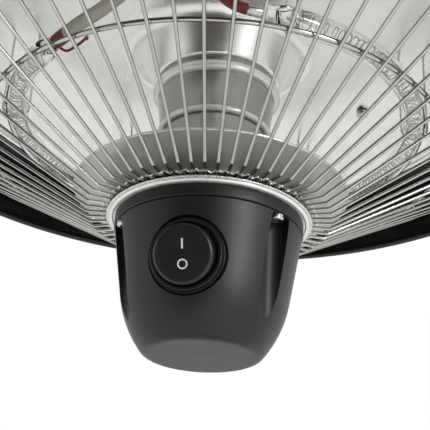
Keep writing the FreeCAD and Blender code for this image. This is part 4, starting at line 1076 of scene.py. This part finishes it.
# Switch cup: a moulded shell with three screw channels and a round recess for the switch
cupShape = {"topRadius": 48.3, "taper": 9.5, "straight": 35.7, "sideRound": 58.6, "baseRound": 5.5,
            "wall": 2.5, "circle": 44.4, "channel": 4.1, "channelWall": 1.6, "channelDepth": 52.0,
            "azimuths": (60.0, 180.0, 300.0), "scoop": 7.2, "roof": 0.8, "lip": 0.6, "rimGap": 0.1,
            "past": 10.0, "pocket": 5.0, "over": 2.0, "under": 3.0, "run": 2.5, "hollowRun": 8.0}
switchShape = {"drop": 28.4, "axis": -1.0, "recess": 19.3, "depth": 5.0, "floor": 2.5, "barrel": 14.2,
               "bezel": 18.1, "step": 17.2, "bore": 15.6, "stepHeight": -1.8, "bezelHigh": 1.0,
               "bezelLow": -3.2, "stepRound": 0.25, "bezelRound": 0.35, "cap": 14.2, "base": -0.5,
               "face": 7.6, "capRound": 1.6, "capWall": 2.4, "underRound": 0.8, "rimRound": 0.3,
               "tilt": 10.0, "past": 40.0, "run": 3.0}
cupTop = collarLow - cupShape["rimGap"] * mm
taper = math.radians(cupShape["taper"])


def switchMatrix():   # the switch's own frame: its axis leaves the wall square, its origin is on the wall
    drop = switchShape["drop"] * mm
    wall = Vector((0, drop * math.tan(taper) - cupShape["topRadius"] * mm, cupTop - drop))
    return Matrix.Translation(wall) @ Matrix.Rotation(math.pi / 2 + taper, 4, "X")


inSwitch = switchMatrix()


def cupOutline(inset, top, baseRound, steps):
    s = cupShape
    radius = s["sideRound"] * mm
    down = Vector((-math.sin(taper), -math.cos(taper)))
    inward = Vector((-math.cos(taper), math.sin(taper)))
    mouth = Vector((s["topRadius"] * mm, cupTop))
    bend = mouth + down * (s["straight"] * mm / math.cos(taper))
    centre = bend + inward * radius
    size = radius - inset
    base = cupBase + inset
    small = base + baseRound
    corner = Vector((centre.x + math.sqrt((size - baseRound) ** 2 - (small - centre.y) ** 2), small))
    way = (corner - centre).normalized()
    low = math.atan2(way.y, way.x)
    high = math.atan2(-inward.y, -inward.x)
    points = [Vector((0, base))]
    baseSteps = 8 if baseRound else 0
    for k in range(baseSteps):
        t = -math.pi / 2 + (low + math.pi / 2) * k / baseSteps
        points.append(corner + Vector((math.cos(t), math.sin(t))) * baseRound)
    for k in range(steps + 1):
        t = low + (high - low) * k / steps
        points.append(centre + Vector((math.cos(t), math.sin(t))) * size)
    rim = mouth + inward * inset
    rim = rim - down * ((top - rim.y) / math.cos(taper))
    lip = s["lip"] * mm   # the outer rim is chamfered, so a dark line parts the cup from the collar
    edge = [rim] if inset else [rim + down * lip, rim + inward * lip]
    return points + edge + [Vector((0, top))]


def channelPosts(name, radius, low, high):
    s = cupShape
    posts = [post(name, radius, low, high, around(s["circle"] * mm, azimuth, 0)) for azimuth in s["azimuths"]]
    return joined(name, posts)


def inSwitchPost(name, radius, low, high):
    piece = post(name, radius, low, high, segments=128)
    piece.data.transform(inSwitch)
    return piece


def makeCup():
    s = {key: value * mm for key, value in cupShape.items() if key != "azimuths"}
    w = inMetres(switchShape)
    outside = cupOutline(0, cupTop, s["baseRound"], steps=24)
    cup = spin("switchCup", divide(outside, s["run"]), closed=False, segments=240)
    inside = cupOutline(s["wall"], cupTop + s["over"], 0, steps=12)
    hollow = spin("cupHollow", divide(inside, s["hollowRun"]), closed=False, segments=96)
    over = cupTop + s["past"]
    back = -(w["depth"] + w["floor"])
    carve(hollow, channelPosts("bosses", s["scoop"] + s["channelWall"], cupTop - s["channelDepth"], over))
    carve(hollow, inSwitchPost("seat", w["recess"] + s["wall"], back, w["past"]))
    carve(cup, hollow)
    carve(cup, channelPosts("pockets", s["channel"], cupTop - s["pocket"], over))
    carve(cup, channelPosts("scoops", s["scoop"], cupBase - s["pocket"], cupTop - s["roof"]))
    carve(cup, inSwitchPost("recess", w["recess"], -w["depth"], w["past"]))
    carve(cup, inSwitchPost("barrel", w["barrel"], back - s["under"], 0))
    bm = bmesh.new()
    bm.from_mesh(cup.data)
    bmesh.ops.remove_doubles(bm, verts=bm.verts, dist=0.01 * mm)
    bm.to_mesh(cup.data)
    bm.free()
    dress(shade(cup, angle=32), "black_plastic", "heater", "switch_cup")


makeCup()

collarShape = {"radius": 48.8, "wall": 3.0, "web": 2.8, "edge": 0.7, "boss": 6.0, "bossTop": 2.8, "skin": 1.2,
               "bore": 4.3, "past": 5.0, "below": 6.0}


def makeCollar():
    s = inMetres(collarShape)
    within, under = s["radius"] - s["wall"], collarHigh - s["web"]
    corners = [(s["bore"], under, 0), (within, under, 0), (within, collarLow, 0),
               (s["radius"], collarLow, s["edge"]), (s["radius"], collarHigh, s["edge"]),
               (s["bore"], collarHigh, 0)]
    collar = spin("switchCollar", roundOff(corners, closed=True, step=20), segments=240)
    bosses = channelPosts("collarBosses", s["boss"], collarLow - s["past"], collarHigh - s["bossTop"])
    limit = post("within", s["radius"] - s["skin"], collarLow - s["below"], collarHigh)
    carve(bosses, limit, "INTERSECT")
    carve(collar, bosses)
    dress(shade(collar, angle=32), "black_plastic", "heater", "switch_collar")


makeCollar()


def makeSwitch():
    s = inMetres(switchShape)
    corners = [(s["bore"], s["bezelLow"], 0), (s["bezel"], s["bezelLow"], 0),
               (s["bezel"], s["stepHeight"], s["stepRound"]), (s["step"], s["stepHeight"], 0),
               (s["step"], s["bezelHigh"], s["bezelRound"]), (s["bore"], s["bezelHigh"], s["bezelRound"])]
    bezel = spin("switchRing", roundOff(corners, closed=True, step=15), segments=128)
    bezel.data.transform(inSwitch)
    dress(shade(bezel), "rocker_plastic", "heater", "switch_bezel")

    inner, under = s["cap"] - s["capWall"], s["face"] - s["capWall"]
    corners = [(0, under, 0), (inner, under, s["underRound"]), (inner, s["base"], 0),
               (s["cap"], s["base"], s["rimRound"]), (s["cap"], s["face"], s["capRound"]), (0, s["face"], 0)]
    cap = spin("rockerCap", divide(roundOff(corners, step=10), s["run"]), closed=False, segments=128)
    axis = Matrix.Translation((0, 0, s["axis"]))
    onCap = inSwitch @ axis @ Matrix.Rotation(math.radians(switchShape["tilt"]), 4, "X") @ axis.inverted()
    cap.data.transform(onCap)
    dress(shade(cap), "rocker_plastic", "rocker", "rocker")
    makeMarks(onCap)


markShape = {"offset": 4.7, "barHigh": 4.8, "barWide": 0.85, "barRound": 0.2, "ring": 2.4, "stroke": 0.68,
             "proud": 0.06}


def makeMarks(onCap):   # on and off signs, printed on the cap's face
    s = inMetres(markShape)
    face, proud = switchShape["face"] * mm, s["proud"]
    bm = bmesh.new()
    bar = bmesh.ops.create_cube(bm, size=1.0)["verts"]
    bmesh.ops.scale(bm, vec=(s["barWide"], s["barHigh"], 2 * proud), verts=bar)
    bmesh.ops.translate(bm, vec=(0, s["offset"], face), verts=bar)
    edges = [e for e in bm.edges if abs(e.verts[0].co.z - e.verts[1].co.z) > proud]
    bmesh.ops.bevel(bm, geom=edges, offset=s["barRound"], segments=3, profile=0.5, affect="EDGES")
    bar = newPiece("markBar", meshFrom("markBar", bm))
    stroke = barOutline(s["ring"] - s["stroke"], s["ring"], face - proud, face + proud)
    ring = spin("markRing", stroke, segments=64)
    ring.data.transform(Matrix.Translation((0, -s["offset"], 0)))
    marks = joined("switchMarks", [bar, ring])
    marks.data.transform(onCap)
    dress(shade(marks), "white_plastic", "rocker", finish=markFinish)


makeSwitch()
print("switch made")

# Screws. A row has the way its heads face, up or down, or none where they face out from the axis,
# and how much further out than the CAD heads they stand
screwShape = {"radius": 3.7, "height": 2.6, "round": 1.2, "slotLength": 4.2, "slotWidth": 0.9,
              "slotDepth": 1.2}
screwRows = (("cupScrewHeads", "cup_screws", -1, 2.1), ("clipScrewHeads", "guard_clip_screws", None, 0.0),
             ("bracketScrewHeads", "bracket_screws", 1, 0.0), ("earthScrewHead", "earth_screw", -1, 0.0),
             ("blockScrewHeads", "terminal_block_screws", -1, 0.0))


def screwSpots(node, way):   # the head's seat: each screw's own solid ends at its head's outer face
    bm = cadMesh(node)
    left = set(bm.verts)
    spots = []
    while left:
        group = [left.pop()]
        for v in group:
            for e in v.link_edges:
                other = e.other_vert(v)
                if other in left:
                    left.remove(other)
                    group.append(other)
        centre = (Vector([min(v.co[k] for v in group) for k in range(3)])
                  + Vector([max(v.co[k] for v in group) for k in range(3)])) / 2
        facing = Vector((0, 0, way)) if way else Vector((centre.x, centre.y, 0)).normalized()
        top = max(v.co.dot(facing) for v in group)
        spots.append((centre + facing * (top - screwShape["height"] * mm - centre.dot(facing)), facing))
    bm.free()
    return sorted(spots, key=lambda spot: tuple(round(c, 6) for c in spot[0]))


def makeScrews(name, node, way, proud):
    s = inMetres(screwShape)
    spots = [(spot + facing * proud * mm, facing) for spot, facing in screwSpots(node, way)]
    mesh = bpy.data.meshes.new(name)
    mesh.from_pydata([spot for spot, _ in spots], [], [])
    values = [c for _, facing in spots for c in facing]
    mesh.attributes.new("facing", "FLOAT_VECTOR", "POINT").data.foreach_set("vector", values)
    heads = grow(name, crossHeadScrews, {
        "Head Radius": s["radius"], "Head Height": s["height"], "Edge Round": s["round"],
        "Slot Length": s["slotLength"], "Slot Width": s["slotWidth"], "Slot Depth": s["slotDepth"],
        "Seed": 7, "Finish": finishes["zinc_plate"]}, mesh)
    dress(shade(heads, angle=40), "zinc_plate", "heater", node)


for row in screwRows:
    makeScrews(*row)
print("screws made")

# Bail and the small fittings
bailShape = {"wire": 6.0, "leg": 14.0, "bend": 7.0, "pinEnd": 25.5, "span": 80.0}


def makeBail():
    s = inMetres(bailShape)
    half, z = s["span"] / 2, bailPin.z
    top = z + s["leg"] + half
    path = [Vector((x, 0, height)) for x, height in (
        (-s["pinEnd"], z), (-half, z), (-half, top), (half, top), (half, z), (s["pinEnd"], z))]
    bail = grow("hangingBail", bentWire, {
        "Count": 1, "First Turn": 0.0, "Turn Step": 0.0, "Wire Radius": s["wire"] / 2, "Sides": 28,
        "Bend Steps": 24, "Finish": finishes["zinc_plate"]},
        pathMesh("hangingBail", path, [0, s["bend"], half, half, s["bend"], 0]))
    dress(bail, "zinc_plate", "hanger", "hanging_bail")


makeBail()

# CAD pieces that keep their shape: corners broken by this much
fittings = {"bail_push_nuts": 0.2, "hanger_bracket": 0.4, "bracket_nuts": 0.3, "tie_rod": 0.4,
            "tie_rod_nuts": 0.4, "tie_rod_washers": 0.2, "upper_spacer": 0.2, "shield_spacer": 0.2,
            "earth_washer": 0.1, "earth_nut": 0.3, "lead_crimps": 0.4, "lead_grommets": 0.4,
            "terminal_block": 0.5, "cable_gland": 0.5, "gland_nut": 0.5, "guard_clips": 0.2,
            "switch_seal": 0.1, "switch_body": 0.3, "switch_terminals": 0.15, "terminal_boot": 0.5}
edgeAngles = {"flat": 1.0, "sharp": 40.0}   # faces that count as one, and edges that are broken


def tidyCopy(name, node, edge):   # a CAD piece with its corners broken and its round faces smooth
    bm = cadMesh(node)
    bmesh.ops.dissolve_limit(bm, angle_limit=math.radians(edgeAngles["flat"]), verts=bm.verts, edges=bm.edges)
    least = math.radians(edgeAngles["sharp"])
    sharp = [e for e in bm.edges if len(e.link_faces) == 2 and e.calc_face_angle() > least]
    bmesh.ops.bevel(bm, geom=sharp, offset=edge, segments=2, profile=0.5, affect="EDGES", clamp_overlap=True)
    return shade(newPiece(name, meshFrom(name, bm)))


def makeFittings():
    for node, edge in fittings.items():
        words = node.split("_")
        name = words[0] + "".join(word.capitalize() for word in words[1:])
        dress(tidyCopy(name, node, edge * mm), slotOf[node], bodyOf[node], node)
    for node, piece in frame["nodes"].items():
        if node not in replaced:
            piece.data.materials.clear()
            piece.data.materials.append(finishes[slotOf[node]])


makeFittings()
print("fittings made")

# Floor, light and camera. Sizes and distances of the floor and the lamps are in metres
stageShape = {"floorZ": -0.75, "floorSize": 1.9, "fadeFrom": 0.5, "fadeTo": 0.93, "floor": "#ededec",
              "shade": 0.96}


def makeFloor():
    s = stageShape
    bm = bmesh.new()
    bmesh.ops.create_grid(bm, x_segments=1, y_segments=1, size=s["floorSize"] / 2)
    floor = newPiece("studioFloor", meshFrom("studioFloor", bm))
    floor.location.z = s["floorZ"]
    f = newFinish("paperFloor", {"Roughness": 0.8})   # matt paper: faintly mottled, so the white isn't dead
    mottle = addNode(f.tree, "ShaderNodeTexNoise", {"Scale": 3.0, "Detail": 2.0, "Vector": f.place}, "Fac")
    addNode(f.tree, "ShaderNodeMix", {
        "data_type": "RGBA", 0: mottle, 6: hexColour(s["floor"], s["shade"]), 7: hexColour(s["floor"])},
        out=2, to=f.inputs["Base Color"])
    out = addNode(f.tree, "ShaderNodeVectorMath", {"operation": "LENGTH", 0: f.place}, "Value")
    fade = addNode(f.tree, "ShaderNodeMapRange", {   # the paper runs out into the white, so it shows no edge
        "interpolation_type": "SMOOTHSTEP", "From Min": s["fadeFrom"], "From Max": s["fadeTo"], "To Min": 1.0,
        "To Max": 0.0, "Value": out})
    f.tree.links.new(fade, f.inputs["Alpha"])
    floor.data.materials.append(f.finish)


makeFloor()

# A mirror sees a dark front, and white walls at the right, at the left and behind.
# A wall is (axis, where it starts, where it is full)
lightShape = {"fill": 0.5, "dark": 0.06, "white": 1.0,
              "walls": (("X", 0.3, 0.7), ("X", -0.35, -0.75), ("Y", 0.1, 0.6))}


def makeWorld():
    s = lightShape
    world = bpy.data.worlds.new("studio")
    scene.world = world
    world.use_nodes = True
    tree = world.node_tree
    ray = addNode(tree, "ShaderNodeLightPath", out=None)
    seen = addNode(tree, "ShaderNodeMath", {
        "operation": "MAXIMUM", 0: ray["Is Camera Ray"], 1: ray["Is Transmission Ray"]})
    way = addNode(tree, "ShaderNodeTexCoord", out="Generated")
    parts = addNode(tree, "ShaderNodeSeparateXYZ", {"Vector": way}, None)
    level = s["dark"]
    for axis, low, high in s["walls"]:
        wall = addNode(tree, "ShaderNodeMapRange", {
            "interpolation_type": "SMOOTHSTEP", "From Min": low, "From Max": high, "To Min": s["dark"],
            "To Max": s["white"], "Value": parts[axis]})
        level = addNode(tree, "ShaderNodeMath", {"operation": "MAXIMUM", 0: level, 1: wall})
    room = addNode(tree, "ShaderNodeMix", {
        "data_type": "FLOAT", 0: ray["Is Glossy Ray"], 2: s["fill"], 3: level})
    share = addNode(tree, "ShaderNodeMix", {"data_type": "FLOAT", 0: seen, 2: room, 3: s["white"]})
    back = tree.nodes["Background"]
    back.inputs["Color"].default_value = (1, 1, 1, 1)
    tree.links.new(share, back.inputs["Strength"])


# A panel is (azimuth, elevation, distance, width, height, power in watts). Its light fades from the core to
# the edge, in shares of its sides from the middle, and glow makes up for what that takes away
panelShapes = {"keyPanel": (53, 7, 1.1, 0.3, 0.8, 7.0), "lowPanel": (27, -33, 0.85, 0.14, 0.36, 0.3),
               "topPanel": (0, 88, 1.6, 2.4, 2.4, 45.0)}
fadeShape = {"middle": 0.5, "edge": 0.5, "core": 0.1, "glow": 2.5}


def softEdges(lamp):   # the panel fades out towards its sides, so metal shows no hard-edged picture of it
    s = fadeShape
    lamp.use_nodes = True
    tree = lamp.node_tree
    place = addNode(tree, "ShaderNodeNewGeometry", out="Parametric")
    parts = addNode(tree, "ShaderNodeSeparateXYZ", {"Vector": place}, None)
    fades = []
    for axis in ("X", "Y"):
        off = addNode(tree, "ShaderNodeMath", {"operation": "SUBTRACT", 0: parts[axis], 1: s["middle"]})
        far = addNode(tree, "ShaderNodeMath", {"operation": "ABSOLUTE", 0: off})
        fades.append(addNode(tree, "ShaderNodeMapRange", {
            "interpolation_type": "SMOOTHSTEP", "From Min": s["edge"], "From Max": s["core"], "Value": far}))
    both = addNode(tree, "ShaderNodeMath", {"operation": "MULTIPLY", 0: fades[0], 1: fades[1]})
    glow = addNode(tree, "ShaderNodeMath", {"operation": "MULTIPLY", 0: both, 1: s["glow"]})
    tree.links.new(glow, tree.nodes["Emission"].inputs["Strength"])


def makeLamps():
    for name, (azimuth, elevation, distance, width, height, power) in panelShapes.items():
        lamp = bpy.data.lights.new(name, "AREA")
        lamp.shape = "RECTANGLE"
        lamp.size, lamp.size_y = width, height
        lamp.energy = power
        softEdges(lamp)
        holder = newPiece(name, lamp)
        lift = math.radians(elevation)
        spot = around(distance * math.cos(lift), azimuth, distance * math.sin(lift))
        holder.location = Vector((0, 0, hub)) + spot
        holder.rotation_euler = spot.to_track_quat("Z", "Y").to_euler()


makeWorld()
makeLamps()

# From below and to the right of the switch. Focal length, aim, middle and frame are in pixels;
# aim is where the hub's middle falls in the frame
cameraShape = {"azimuth": 13.07, "below": 24.852, "distance": 493.94, "roll": 3.334, "focal": 950.08,
               "aim": (209.591, 222.896), "middle": 215.0, "frame": 430.0, "sensor": 36.0, "clip": 10.0}


def turnPair(a, b, angle):   # turns two square directions in their own plane, the first towards the second
    return a * math.cos(angle) + b * math.sin(angle), b * math.cos(angle) - a * math.sin(angle)


def makeCamera():
    s = cameraShape
    below = math.radians(s["below"])
    out = around(math.cos(below), s["azimuth"], -math.sin(below))
    right, ahead = tangentAt(s["azimuth"]), -out
    up = right.cross(ahead)
    pan, tip = [math.atan((place - s["middle"]) / s["focal"]) for place in s["aim"]]
    right, ahead = turnPair(right, ahead, pan)
    ahead, up = turnPair(ahead, up, tip)
    right, up = turnPair(right, up, math.radians(s["roll"]))
    lens = bpy.data.cameras.new("photoCamera")
    lens.sensor_width = s["sensor"]
    lens.lens = s["focal"] * s["sensor"] / s["frame"]
    lens.clip_start = s["clip"] * mm
    camera = newPiece("photoCamera", lens)
    spot = Vector((0, 0, hub)) + out * s["distance"] * mm
    camera.matrix_world = Matrix.Translation(spot) @ Matrix((right, up, -ahead)).transposed().to_4x4()
    scene.camera = camera


makeCamera()
scene.view_settings.view_transform = "Standard"
print("light and camera set")
